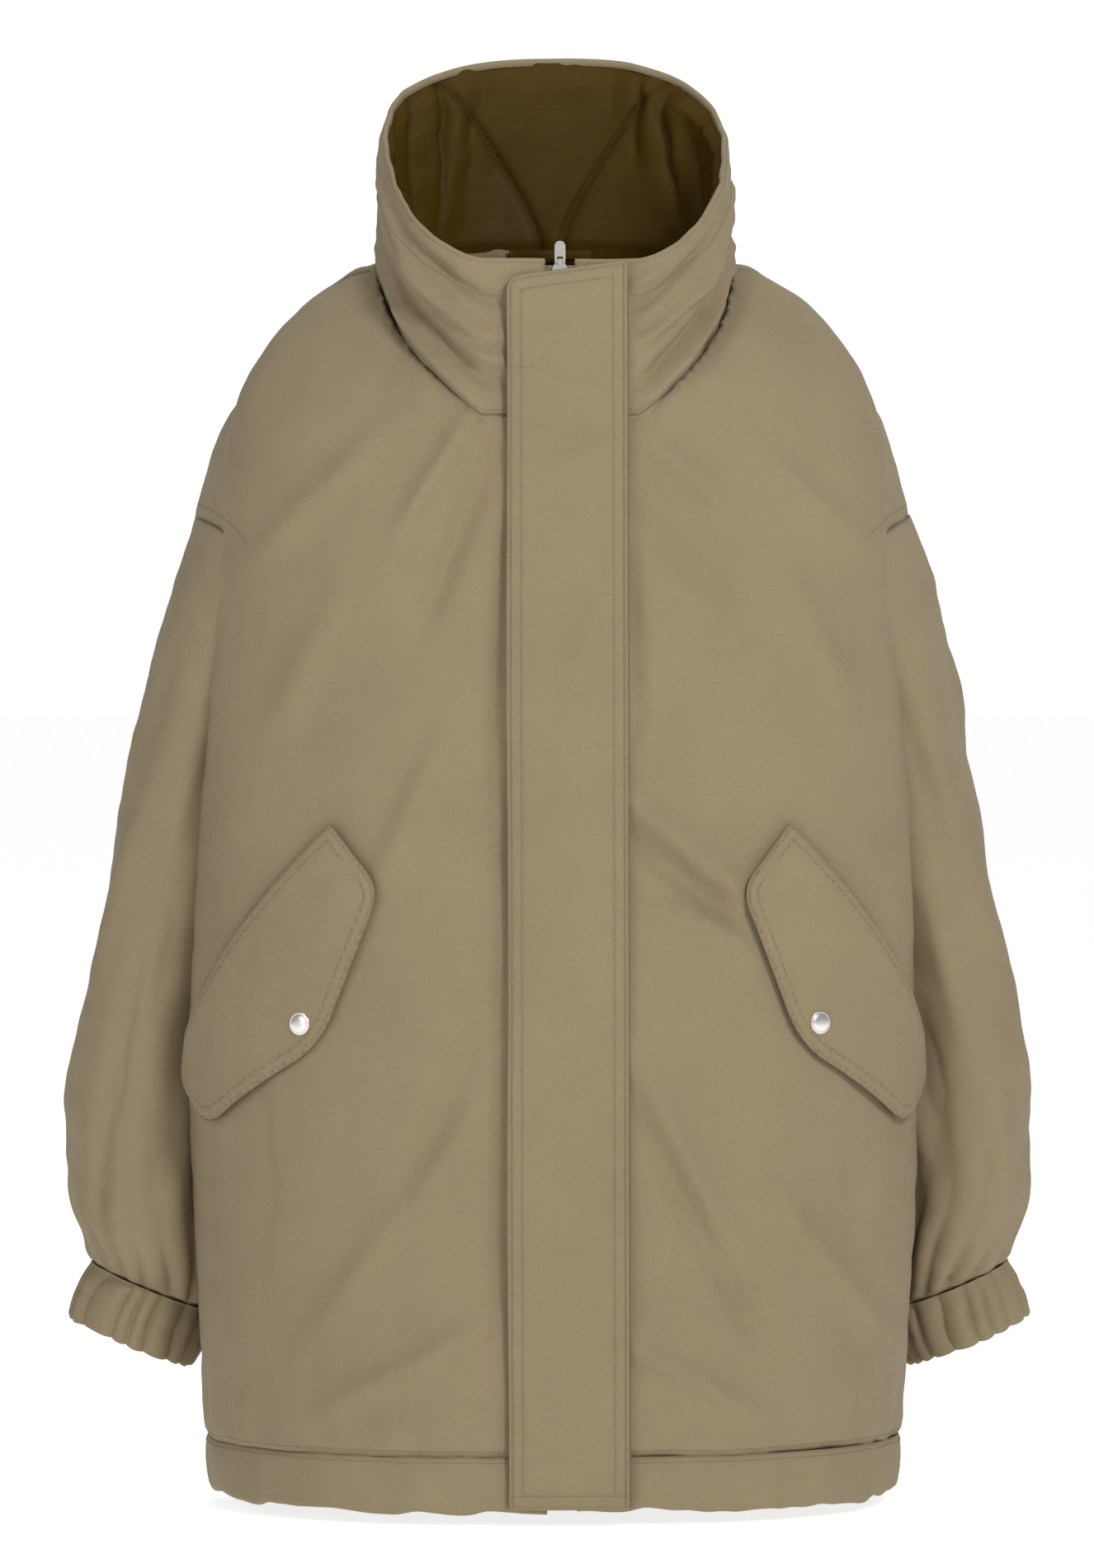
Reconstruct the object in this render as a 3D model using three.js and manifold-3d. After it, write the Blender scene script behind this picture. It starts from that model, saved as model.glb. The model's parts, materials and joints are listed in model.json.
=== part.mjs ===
// A padded parka jacket with a funnel collar, hanging as it is worn, zipped and snapped shut.
// Millimetres, +Z up, the front faces -Y, the wearer's right is at -X.
// Heights are measured up from the hem. The whole group is moved at the end so that
// the origin is at the hanging loop in the back of the neck.

import * as THREE from "three";
import { mergeVertices } from "three/addons/utils/BufferGeometryUtils.js";
import Module from "manifold-3d";

const wasm = await Module();
wasm.setup();

// ---------------------------------------------------------------- driving dimensions

const gap = 0.3; // clearance between pieces that touch
const shellWall = 2; // outer cloth
const liningStart = 5; // depth of the lining's outer face below the shell's outer face
const liningWall = 6; // quilted lining with its padding
const reach = 30; // how far a cutting solid runs past an open end

// body, at rest
const hemHalfWidth = 233;
const hipHalfWidth = 246;
const waistHalfWidth = 238;
const chestHalfWidth = 226;
const hipHeight = 300;
const waistHeight = 480;
const chestHeight = 660;
const frontDepthAtHem = 150; // distance of the front line in front of y = 0
const frontDepthAtRim = 105;
const backDepth = 130;
const widestAtHip = 22; // y of the widest point of a low section
const widestAtWaist = 4;
const widestAtChest = -15;
const frontFlatHalf = 52; // flat strip down the middle of the front
const backFlatHalf = 30;
const hemBandHeight = 38;
const seamAtSide = 46; // y of the side and shoulder seam at the armhole
const seamAtNeck = 5;

// neck seam and collar
const neckHalfWidth = 119;
const neckFrontHeight = 729;
const neckSideHeight = 826;
const neckBackHeight = 845;
const neckBackDepth = 85;
const rimHalfWidth = 116;
const rimFrontHeight = 832;
const rimSideHeight = 910;
const rimBackHeight = 967;
const rimBackDepth = 95;
const rimWidest = 10;
const collarSwell = 4; // outward bow of the collar between its two edges
const shoulderSwell = 63; // how far the shoulder stands out from a straight line neck to chest

// sleeve sections from the shoulder down: centre x, y, z, half width, half depth, lean, turn in degrees
const sleeveSections = [
  { x: 150, y: 26, z: 740, a: 38, b: 58, lean: 58, turn: 0 },
  { x: 184, y: 34, z: 703, a: 44, b: 74, lean: 36, turn: 0 },
  { x: 200, y: 40, z: 640, a: 46, b: 84, lean: 25, turn: 0 },
  { x: 222, y: 62, z: 545, a: 46, b: 86, lean: 13, turn: 8 },
  { x: 238, y: 76, z: 456, a: 46, b: 84, lean: 11, turn: 14 },
  { x: 257, y: 84, z: 346, a: 47, b: 82, lean: 10, turn: 14 },
  { x: 270, y: 88, z: 252, a: 51, b: 82, lean: 12, turn: 12 },
  { x: 272, y: 86, z: 195, a: 51, b: 78, lean: 16, turn: 10 },
  { x: 270, y: 84, z: 157, a: 47, b: 66, lean: 20, turn: 5 },
  { x: 271, y: 84, z: 134, a: 44, b: 54, lean: 22, turn: 0 },
];
const armholeSection = 2; // the sleeve is sewn on at this section
const cuffLength = 41;
const cuffFlare = 1.5;
const cuffWall = 3;
const elasticWall = 1.6;
const elasticInset = 6; // how far the elastic stops short of each edge of the cuff
const sleeveSides = 16;

// zip, in the plane of the front
const zipGapHalf = 10; // each front stops this far from the middle
const zipFoot = 4;
const stopHeight = 3;
const teethInner = 1.2;
const teethOuter = 3.5;
const teethDepth = 1.9;
const teethThickness = 1.6;
const tapeWidth = 18;
const tapeThickness = 0.8;
const footHeight = 9.6; // height of the box and the pin
const sliderHalfWidth = 5.2;
const sliderHeight = 12;
const sliderPlate = 1.1;
const sliderSide = 0.3; // clearance of the slider round the teeth
const pullHalfWidth = 3.6;
const pullLength = 14;
const pullThickness = 0.9;
const pullEyeHalf = 1.9;
const pullEyeLength = 2.6; // from the pull's crossbar up, enough to swing round the bridge
const bridgeHalfWidth = 1.2; // the bridge on the slider that the pull's crossbar turns in
const bridgeWall = 0.9;
const bridgeLift = 0.35; // foot of the bridge above the slider's plate

// storm flap, in the plane of the front
const flapFree = -36; // x of its free edge
const flapSeam = 44.5; // x of its sewn edge
const flapBottom = 3;
const flapTopFree = 822;
const flapTopSeam = 833;
const flapStandOff = 3.6; // clear space between the front and the flap
const flapPly = 1.8;
const flapCorner = 9;
const seamStripHalf = 3;

// snaps
const snapRadius = 5;
const studRadius = 2.2;
const socketHole = 2.7;
const hiddenSnapX = -22;
const hiddenSnapHeights = [120, 320, 520, 700];
const capRadius = 7.8;
const capHeight = 1.8;

// pocket flaps: turn is measured along the section from the front strip to the side, in degrees
const flapHinge = [{ turn: 32, z: 458 }, { turn: 80, z: 312 }];
const flapUpperCorner = { turn: 20.5, z: 414 };
const flapPoint = { turn: 33, z: 309 };
const flapLowerCorner = { turn: 66, z: 251 };
const flapEndCorner = { turn: 84, z: 278 };
const pocketStandOff = 3.8;
const pocketSnapSeat = 0.4; // lifts the flat snap off the cloth's facets
const pocketSnapSlack = 1.2; // room for the flap's curve over the flat snap
const pocketPly = 3.4;
const pocketSnap = { turn: 37.5, z: 324 };
const bagDepth = 2.9; // depth of the bag's outer face below the shell's outer face
const bagThickness = 0.9;

// hanging loop
const loopHalf = 28;
const loopWidth = 6;
const loopThickness = 1.4;
const loopBow = 9;
const loopTuck = 0.5; // the lining leans back below the seam, and the loop follows it
const loopRise = 10; // height of the loop's middle below the back neck seam

// ---------------------------------------------------------------- small helpers

const radians = THREE.MathUtils.degToRad;
const frontLean = (frontDepthAtHem - frontDepthAtRim) / rimFrontHeight;
const frontAngle = Math.atan(frontLean);

// A smooth curve through [height, value] stops.
function profile(stops, z) {
  let i = 0;
  while (i < stops.length - 2 && z > stops[i + 1][0]) i += 1;
  const slope = (k) => {
    const low = stops[Math.max(k - 1, 0)];
    const high = stops[Math.min(k + 1, stops.length - 1)];
    return (high[1] - low[1]) / (high[0] - low[0]);
  };
  const [z0, v0] = stops[i];
  const [z1, v1] = stops[i + 1];
  const t = THREE.MathUtils.clamp((z - z0) / (z1 - z0), 0, 1);
  const h = z1 - z0;
  const rise = v1 - v0;
  const a = slope(i) * h - rise;
  const b = rise - slope(i + 1) * h;
  return v0 + rise * t + t * (1 - t) * (a * (1 - t) + b * t);
}

// Turns triangles into a solid, facing outwards whichever way they were wound.
function toSolid(points, triangles) {
  const positions = new Float32Array(points.flatMap((p) => [p.x, p.y, p.z]));
  const geometry = new THREE.BufferGeometry();
  geometry.setAttribute("position", new THREE.BufferAttribute(positions, 3));
  geometry.setIndex(triangles.flat());
  return geometryToSolid(geometry);
}

function geometryToSolid(source) {
  const bare = source.clone();
  for (const name of Object.keys(bare.attributes)) {
    if (name !== "position") bare.deleteAttribute(name);
  }
  const geometry = mergeVertices(bare, 1e-4);
  const vertProperties = new Float32Array(geometry.attributes.position.array);
  const triVerts = new Uint32Array(geometry.index.array);
  if (signedVolume(vertProperties, triVerts) < 0) {
    for (let i = 0; i < triVerts.length; i += 3) {
      [triVerts[i], triVerts[i + 1]] = [triVerts[i + 1], triVerts[i]];
    }
  }
  return new wasm.Manifold(new wasm.Mesh({ numProp: 3, vertProperties, triVerts }));
}

function signedVolume(vertices, triangles) {
  let sum = 0;
  const a = new THREE.Vector3();
  const b = new THREE.Vector3();
  const c = new THREE.Vector3();
  for (let i = 0; i < triangles.length; i += 3) {
    a.fromArray(vertices, 3 * triangles[i]);
    b.fromArray(vertices, 3 * triangles[i + 1]);
    c.fromArray(vertices, 3 * triangles[i + 2]);
    sum += a.dot(b.cross(c));
  }
  return sum;
}

function solidToGeometry(solid) {
  const mesh = solid.getMesh();
  const geometry = new THREE.BufferGeometry();
  geometry.setAttribute("position", new THREE.BufferAttribute(new Float32Array(mesh.vertProperties), 3));
  geometry.setIndex(new THREE.BufferAttribute(new Uint32Array(mesh.triVerts), 1));
  return geometry;
}

function boxSolid(low, high) {
  const geometry = new THREE.BoxGeometry(high[0] - low[0], high[1] - low[1], high[2] - low[2]);
  geometry.translate((low[0] + high[0]) / 2, (low[1] + high[1]) / 2, (low[2] + high[2]) / 2);
  return geometryToSolid(geometry);
}

// Moves every point of a stack of rings inwards by depth, along the surface's own normals.
// With levelEnds the first and last rings move level, straight towards their centres.
function insetRings(rings, depth, levelEnds = false) {
  if (depth === 0) return rings;
  const count = rings[0].length;
  const centre = new THREE.Vector3();
  return rings.map((ring, row) => {
    centre.set(0, 0, 0);
    ring.forEach((p) => centre.addScaledVector(p, 1 / count));
    return ring.map((p, i) => {
      const around = ring[(i + 1) % count].clone().sub(ring[(i + count - 1) % count]);
      const above = rings[Math.min(row + 1, rings.length - 1)][i];
      const below = rings[Math.max(row - 1, 0)][i];
      const normal = around.cross(above.clone().sub(below)).normalize();
      if (normal.dot(p.clone().sub(centre)) < 0) normal.negate();
      if (!levelEnds || (row > 0 && row < rings.length - 1)) return p.clone().addScaledVector(normal, -depth);
      const level = new THREE.Vector3(p.x - centre.x, p.y - centre.y, 0).normalize();
      return p.clone().addScaledVector(level, -depth / level.dot(normal));
    });
  });
}

// A flat-ended cap: the end ring drawn in level towards its centre.
function capRing(ring) {
  const centre = new THREE.Vector3();
  ring.forEach((p) => centre.addScaledVector(p, 1 / ring.length));
  return ring.map((p) => {
    const level = new THREE.Vector3(centre.x, centre.y, p.z);
    return p.clone().lerp(level, 0.16);
  });
}

// A closed solid through a stack of rings.
function ringSolid(rings) {
  const all = [capRing(rings[0]), ...rings, capRing(rings[rings.length - 1])];
  const count = rings[0].length;
  const points = all.flat();
  const triangles = [];
  for (let row = 0; row < all.length - 1; row += 1) {
    for (let i = 0; i < count; i += 1) {
      const a = row * count + i;
      const b = row * count + (i + 1) % count;
      triangles.push([a, b, b + count], [a, b + count, a + count]);
    }
  }
  const ends = [[0, all[0]], [(all.length - 1) * count, all[all.length - 1]]];
  ends.forEach(([start, ring], side) => {
    const centre = new THREE.Vector3();
    ring.forEach((p) => centre.addScaledVector(p, 1 / count));
    points.push(centre);
    for (let i = 0; i < count; i += 1) {
      const next = start + (i + 1) % count;
      const face = side === 0 ? [next, start + i] : [start + i, next];
      triangles.push([...face, points.length - 1]);
    }
  });
  return toSolid(points, triangles);
}

// A wall between two depths below a stack of rings, open at both ends.
function ringWall(rings, outer, inner, levelEnds = false) {
  const loop = [...insetRings(rings, outer, levelEnds), ...insetRings(rings, inner, levelEnds).reverse()];
  const count = rings[0].length;
  const triangles = [];
  for (let row = 0; row < loop.length; row += 1) {
    const next = (row + 1) % loop.length;
    for (let i = 0; i < count; i += 1) {
      const j = (i + 1) % count;
      triangles.push([row * count + i, row * count + j, next * count + j]);
      triangles.push([row * count + i, next * count + j, next * count + i]);
    }
  }
  return toSolid(loop.flat(), triangles);
}

// Adds a ring beyond each end, so that a cutting solid runs out through it.
function reachOut(rings, first, last) {
  const move = (ring, by) => ring.map((p) => p.clone().add(by));
  const out = [...rings];
  if (first) out.unshift(move(rings[0], first));
  if (last) out.push(move(rings[rings.length - 1], last));
  return out;
}

// ---------------------------------------------------------------- body and collar surfaces

const frontY = (z) => -(frontDepthAtHem - frontLean * z);
const halfWidthStops = [
  [0, hemHalfWidth],
  [hipHeight, hipHalfWidth],
  [waistHeight, waistHalfWidth],
  [chestHeight, chestHalfWidth],
];
const widestStops = [
  [0, widestAtHip],
  [hipHeight, widestAtHip],
  [waistHeight, widestAtWaist],
  [chestHeight, widestAtChest],
];
const frontSteps = 8;
const backSteps = 5;

// One side of a section, from the edge of the front strip round to the edge of the back strip.
// place(turn, isBack) gives a point for an angle of 0 to 90 degrees in each quarter.
function sectionRing(place) {
  const right = [];
  for (let i = 0; i <= frontSteps; i += 1) right.push(place(90 * i / frontSteps, false));
  for (let i = 1; i <= backSteps; i += 1) right.push(place(90 * i / backSteps, true));
  const left = right.map((p) => new THREE.Vector3(-p.x, p.y, p.z)).reverse();
  return [...right, ...left];
}

function bodyPoint(turn, isBack, z) {
  const half = profile(halfWidthStops, z);
  const widest = profile(widestStops, z);
  const s = Math.sin(radians(turn));
  const c = Math.cos(radians(turn));
  if (isBack) {
    const x = backFlatHalf + (half - backFlatHalf) * c;
    return new THREE.Vector3(x, widest + (backDepth - widest) * s ** 0.9, z);
  }
  return new THREE.Vector3(frontFlatHalf + (half - frontFlatHalf) * s, widest - (widest - frontY(z)) * c, z);
}

function neckPoint(turn, isBack) {
  const s = Math.sin(radians(turn));
  const c = Math.cos(radians(turn));
  if (isBack) {
    const x = backFlatHalf + (neckHalfWidth - backFlatHalf) * c;
    return new THREE.Vector3(x, neckBackDepth * s, neckSideHeight + (neckBackHeight - neckSideHeight) * s);
  }
  const z = neckFrontHeight + (neckSideHeight - neckFrontHeight) * (turn / 90) ** 1.1;
  return new THREE.Vector3(frontFlatHalf + (neckHalfWidth - frontFlatHalf) * s, frontY(neckFrontHeight) * c, z);
}

function rimPoint(turn, isBack) {
  const s = Math.sin(radians(turn));
  const c = Math.cos(radians(turn));
  if (isBack) {
    const x = backFlatHalf + (rimHalfWidth - backFlatHalf) * c;
    const z = rimSideHeight + (rimBackHeight - rimSideHeight) * s ** 0.8;
    return new THREE.Vector3(x, rimWidest + (rimBackDepth - rimWidest) * s, z);
  }
  const z = rimFrontHeight + (rimSideHeight - rimFrontHeight) * (turn / 90) ** 1.15;
  const y = rimWidest - (rimWidest - frontY(rimFrontHeight)) * c;
  return new THREE.Vector3(frontFlatHalf + (rimHalfWidth - frontFlatHalf) * s, y, z);
}

// From the chest section up and in to the neck seam, over the shoulder.
function shoulderPoint(turn, isBack, t) {
  const low = bodyPoint(turn, isBack, chestHeight);
  const high = neckPoint(turn, isBack);
  const side = isBack ? Math.cos(radians(turn)) : Math.sin(radians(turn));
  const back = isBack ? Math.sin(radians(turn)) : 0;
  const knee = low.clone().lerp(high, 0.5);
  knee.x += shoulderSwell * side ** 2;
  knee.y += 16 * back ** 2;
  knee.z += shoulderSwell * side ** 2 + 38 * back ** 2;
  const point = low.clone().multiplyScalar((1 - t) ** 2);
  return point.addScaledVector(knee, 2 * t * (1 - t)).addScaledVector(high, t * t);
}

const bodyHeights = [0, hemBandHeight, 170, hipHeight, 390, waistHeight, 570];
const shoulderSteps = [0, 0.25, 0.5, 0.75, 1];

function bodyRings() {
  const low = bodyHeights.map((z) => sectionRing((turn, isBack) => bodyPoint(turn, isBack, z)));
  const high = shoulderSteps.map((t) => sectionRing((turn, isBack) => shoulderPoint(turn, isBack, t)));
  high[high.length - 1].forEach((p) => { p.z -= gap / 2; });
  return [...low, ...high];
}

function collarRings() {
  const steps = [0, 0.25, 0.5, 0.75, 1];
  return steps.map((t) => sectionRing((turn, isBack) => {
    const side = isBack ? 1 : Math.sin(radians(turn)) ** 2;
    const p = neckPoint(turn, isBack).lerp(rimPoint(turn, isBack), t);
    const bow = collarSwell * 4 * t * (1 - t) * side;
    const out = new THREE.Vector3(p.x, p.y, 0).normalize();
    p.addScaledVector(out, bow);
    if (t === 0) p.z += gap / 2;
    return p;
  }));
}

// ---------------------------------------------------------------- sleeve surfaces, wearer's right

function sleeveFrame(s) {
  const lean = radians(s.lean);
  const turn = radians(s.turn);
  const down = new THREE.Vector3(-Math.sin(lean), 0, -Math.cos(lean));
  const front = new THREE.Vector3(-Math.sin(turn), -Math.cos(turn), 0);
  const out = new THREE.Vector3().crossVectors(down, front).normalize();
  return { centre: new THREE.Vector3(-s.x, s.y, s.z), down, front, out };
}

function sleeveRing(s) {
  const { centre, front, out } = sleeveFrame(s);
  const ring = [];
  for (let i = 0; i < sleeveSides; i += 1) {
    const angle = 2 * Math.PI * i / sleeveSides;
    const p = centre.clone().addScaledVector(out, s.a * Math.cos(angle));
    ring.push(p.addScaledVector(front, s.b * Math.sin(angle)));
  }
  return ring;
}

const armhole = sleeveSections[armholeSection];
const cuffTop = sleeveSections[sleeveSections.length - 1];
const shoulderDown = sleeveFrame(armhole).down;
const cuffDown = sleeveFrame(cuffTop).down;

function shiftRing(ring, direction, by) {
  return ring.map((p) => p.clone().addScaledVector(direction, by));
}

// Both tubes run a little past the seams that end them, and are then cut off square there.
const overrun = 8;

function shoulderTubeRings() {
  const rings = sleeveSections.slice(0, armholeSection + 1).map(sleeveRing);
  return [...rings, shiftRing(rings[armholeSection], shoulderDown, overrun)];
}

function sleeveTubeRings() {
  const rings = sleeveSections.slice(armholeSection).map(sleeveRing);
  const above = shiftRing(rings[0], shoulderDown, -overrun);
  return [above, ...rings, shiftRing(rings[rings.length - 1], cuffDown, overrun)];
}

// A large block whose near face crosses the sleeve at a section, lying up or down the sleeve from it.
function sleeveBlock(section, along, side, past = 0) {
  const { centre, down: axis, front: across, out } = sleeveFrame(section);
  const size = 1400;
  const geometry = new THREE.BoxGeometry(size, size, size);
  const turn = new THREE.Matrix4().makeBasis(out, across, axis);
  const middle = centre.addScaledVector(axis, along * ((size + gap) / 2 - past));
  geometry.applyMatrix4(turn.setPosition(middle));
  if (side > 0) geometry.scale(-1, 1, 1);
  return geometryToSolid(geometry);
}

function cuffSection(along) {
  const centre = sleeveFrame(cuffTop).centre.addScaledVector(cuffDown, along);
  const swell = cuffFlare * along / cuffLength;
  return { ...cuffTop, x: -centre.x, y: centre.y, z: centre.z, a: cuffTop.a + swell, b: cuffTop.b + swell };
}

function cuffRings(from, to) {
  return [from, to].map((along) => sleeveRing(cuffSection(along)));
}

const mirrorRings = (rings) => rings.map((ring) => ring.map((p) => new THREE.Vector3(-p.x, p.y, p.z)));
const sided = (rings, side) => (side < 0 ? rings : mirrorRings(rings));

// ---------------------------------------------------------------- walls cut from solids

const up = new THREE.Vector3(0, 0, reach);
const down = new THREE.Vector3(0, 0, -reach);

function bodySolid(depth, open) {
  const rings = insetRings(bodyRings(), depth);
  let solid = ringSolid(open ? reachOut(rings, down, up) : rings);
  for (const side of [-1, 1]) {
    const tube = ringSolid(sided(insetRings(shoulderTubeRings(), depth), side));
    solid = solid.add(tube.intersect(sleeveBlock(armhole, -1, side, open ? 2 * gap : 0)));
  }
  return solid;
}

function sleeveSolid(depth, open, side) {
  let tube = ringSolid(sided(insetRings(sleeveTubeRings(), depth), side));
  if (!open) {
    tube = tube.intersect(sleeveBlock(armhole, 1, side)).intersect(sleeveBlock(cuffTop, -1, side));
  }
  return tube.subtract(ringSolid(insetRings(bodyRings(), -gap - depth)));
}

// Plan outline of everything in front of the side and shoulder seams, as a tall block.
function frontBlock(shift) {
  const far = 420;
  const side = armhole.x + armhole.a;
  const outline = new THREE.Shape([
    new THREE.Vector2(-far, -far),
    new THREE.Vector2(far, -far),
    new THREE.Vector2(far, seamAtSide + shift),
    new THREE.Vector2(side, seamAtSide + shift),
    new THREE.Vector2(neckHalfWidth + 10, seamAtNeck + shift),
    new THREE.Vector2(-neckHalfWidth - 10, seamAtNeck + shift),
    new THREE.Vector2(-side, seamAtSide + shift),
    new THREE.Vector2(-far, seamAtSide + shift),
  ]);
  const geometry = new THREE.ExtrudeGeometry(outline, { depth: 1200, bevelEnabled: false });
  geometry.translate(0, 0, -100);
  return geometryToSolid(geometry);
}

const zipGapBlock = boxSolid([-zipGapHalf, -400, -50], [zipGapHalf, 0, 1100]);
const rightBlock = boxSolid([-400, -400, -50], [0, 400, 1100]);
const leftBlock = boxSolid([0, -400, -50], [400, 400, 1100]);
const aboveHem = boxSolid([-420, -400, hemBandHeight + gap / 2], [420, 400, 1100]);
const belowHem = boxSolid([-420, -400, -50], [420, 400, hemBandHeight - gap / 2]);

// ---------------------------------------------------------------- materials and the scene graph

const looks = {
  twill: { color: 0x92846a, roughness: 0.85, metalness: 0 },
  lining: { color: 0x4a3a1c, roughness: 0.45, metalness: 0 },
  metal: { color: 0xbdb9b2, roughness: 0.3, metalness: 1 },
  tape: { color: 0x5d5340, roughness: 0.9, metalness: 0 },
  elastic: { color: 0x3c362a, roughness: 0.9, metalness: 0 },
};

const jacket = new THREE.Group();
const garment = new THREE.Group();
jacket.add(garment);

// The plane of the front: x across, z up along the front line, y into the jacket.
const front = new THREE.Group();
front.position.set(0, -frontDepthAtHem, 0);
front.rotation.x = -frontAngle;
garment.add(front);

function addMesh(parent, name, geometry, look) {
  const mesh = new THREE.Mesh(geometry, new THREE.MeshStandardMaterial(looks[look]));
  mesh.name = name;
  parent.add(mesh);
  return mesh;
}

const addSolid = (name, solid, look) => addMesh(garment, name, solidToGeometry(solid), look);

// ---------------------------------------------------------------- cloth panels

function addBodyLayers() {
  const layers = [
    { kind: "shell", outer: 0, inner: shellWall, look: "twill" },
    { kind: "lining", outer: liningStart, inner: liningStart + liningWall, look: "lining" },
  ];
  for (const { kind, outer, inner, look } of layers) {
    const wall = bodySolid(outer, false).subtract(bodySolid(inner, true)).intersect(aboveHem);
    const fronts = wall.intersect(frontBlock(-gap / 2)).subtract(zipGapBlock);
    addSolid(`right_front_${kind}`, fronts.intersect(rightBlock), look);
    addSolid(`left_front_${kind}`, fronts.intersect(leftBlock), look);
    addSolid(`back_${kind}`, wall.subtract(frontBlock(gap / 2)), look);
    addSolid(`collar_${kind}`, ringWall(collarRings(), outer, inner, true).subtract(zipGapBlock), look);
    for (const [name, side] of [["right", -1], ["left", 1]]) {
      const sleeve = sleeveSolid(outer, false, side).subtract(sleeveSolid(inner, true, side));
      addSolid(`${name}_sleeve_${kind}`, sleeve, look);
    }
  }
  const hem = ringWall(bodyRings().slice(0, 2), 0, liningStart + liningWall);
  addSolid("hem_band", hem.intersect(belowHem).subtract(zipGapBlock).subtract(tapeSlot()), "twill");
}

// The slot in each front end of the hem band that the foot of the zip tape is sewn into.
function tapeSlot() {
  const half = teethOuter + tapeWidth + gap;
  const slot = block(-half, half, shellWall, liningStart, -reach, 2 * hemBandHeight);
  front.updateMatrix();
  return geometryToSolid(slot.applyMatrix4(front.matrix));
}

function addCuffs() {
  for (const [name, side] of [["right", -1], ["left", 1]]) {
    const cuff = sided(cuffRings(gap / 2, cuffLength), side);
    addSolid(`${name}_cuff`, ringWall(cuff, 0, cuffWall), "twill");
    const band = sided(cuffRings(elasticInset, cuffLength - elasticInset), side);
    const start = cuffWall + gap;
    addSolid(`${name}_cuff_elastic`, ringWall(band, start, start + elasticWall), "elastic");
  }
}

// ---------------------------------------------------------------- pieces in the plane of the front

// A plate cut to an outline of x and z, with its outer face at y = near.
function plate(outline, near, thickness) {
  const geometry = new THREE.ExtrudeGeometry(outline, { depth: thickness, bevelEnabled: false, curveSegments: 5 });
  geometry.rotateX(Math.PI / 2);
  geometry.translate(0, near + thickness, 0);
  return geometry;
}

function block(x0, x1, y0, y1, z0, z1) {
  const geometry = new THREE.BoxGeometry(x1 - x0, y1 - y0, z1 - z0);
  return geometry.translate((x0 + x1) / 2, (y0 + y1) / 2, (z0 + z1) / 2);
}

// A turned piece whose profile is given as [radius, distance out of the front].
function turned(points, sides = 16) {
  const lathe = new THREE.LatheGeometry(points.map(([r, out]) => new THREE.Vector2(r, -out)), sides);
  return solidToGeometry(geometryToSolid(lathe));
}

const teethFoot = zipFoot + footHeight + gap;
const stopTop = rimFrontHeight / Math.cos(frontAngle);
const sliderTop = stopTop - stopHeight - gap;
const sliderFoot = sliderTop - sliderHeight;
const teethBack = teethDepth + teethThickness;

function addZip() {
  const tapeNear = teethDepth + (teethThickness - tapeThickness) / 2;
  for (const [name, side] of [["right", -1], ["left", 1]]) {
    const span = (a, b) => (side < 0 ? [-b, -a] : [a, b]);
    const tape = block(...span(teethOuter + gap, teethOuter + tapeWidth),
      tapeNear, tapeNear + tapeThickness, zipFoot, stopTop);
    addMesh(front, `${name}_zip_tape`, tape, "tape");
    const teeth = block(...span(teethInner, teethOuter), teethDepth, teethBack, teethFoot, sliderTop);
    addMesh(front, `${name}_zip_teeth`, teeth, "metal");
    const stop = block(...span(teethInner, teethOuter), teethDepth, teethBack, stopTop - stopHeight, stopTop);
    addMesh(front, `${name}_zip_top_stop`, stop, "metal");
  }
  const footSpan = [teethDepth - 0.5, teethBack + 0.5, zipFoot, zipFoot + footHeight];
  addMesh(front, "zip_box", block(0.2, teethOuter, ...footSpan), "metal");
  addMesh(front, "zip_pin", block(-teethOuter, -0.2, ...footSpan), "metal");
}

const sliderNear = teethDepth - sliderSide - sliderPlate;
const bridgeInner = pullThickness / 2 + gap;
const bridgeOuter = bridgeInner + bridgeWall;
// The pull turns about this line across the front.
const pivot = { y: sliderNear - bridgeInner, z: sliderTop + bridgeLift + bridgeOuter };

function addSlider() {
  const face = [sliderHalfWidth - 1.4, sliderHalfWidth];
  const outline = new THREE.Shape([
    new THREE.Vector2(-face[0], sliderFoot),
    new THREE.Vector2(face[0], sliderFoot),
    new THREE.Vector2(face[1], sliderTop - 3),
    new THREE.Vector2(face[0], sliderTop),
    new THREE.Vector2(-face[0], sliderTop),
    new THREE.Vector2(-face[1], sliderTop - 3),
  ]);
  const frontPlate = geometryToSolid(plate(outline, sliderNear, sliderPlate));
  const backPlate = geometryToSolid(plate(outline, teethBack + sliderSide, sliderPlate));
  const postHalf = teethInner - 0.4;
  const post = geometryToSolid(block(-postHalf, postHalf, sliderNear + 0.5, teethBack + sliderSide + 0.5,
    sliderTop - 4, sliderTop));
  const neck = geometryToSolid(block(-bridgeHalfWidth, bridgeHalfWidth, sliderNear, sliderNear + sliderPlate,
    sliderTop - 2, pivot.z + bridgeOuter));
  const bridge = geometryToSolid(block(-bridgeHalfWidth, bridgeHalfWidth, pivot.y - bridgeOuter, sliderNear + 0.5,
    pivot.z - bridgeOuter, pivot.z + bridgeOuter));
  const bridgeHole = geometryToSolid(block(-reach, reach, pivot.y - bridgeInner, sliderNear,
    pivot.z - bridgeInner, pivot.z + bridgeInner));
  const slider = frontPlate.add(backPlate).add(post).add(neck).add(bridge).subtract(bridgeHole);
  addMesh(front, "zip_slider", solidToGeometry(slider), "metal");
}

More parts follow.
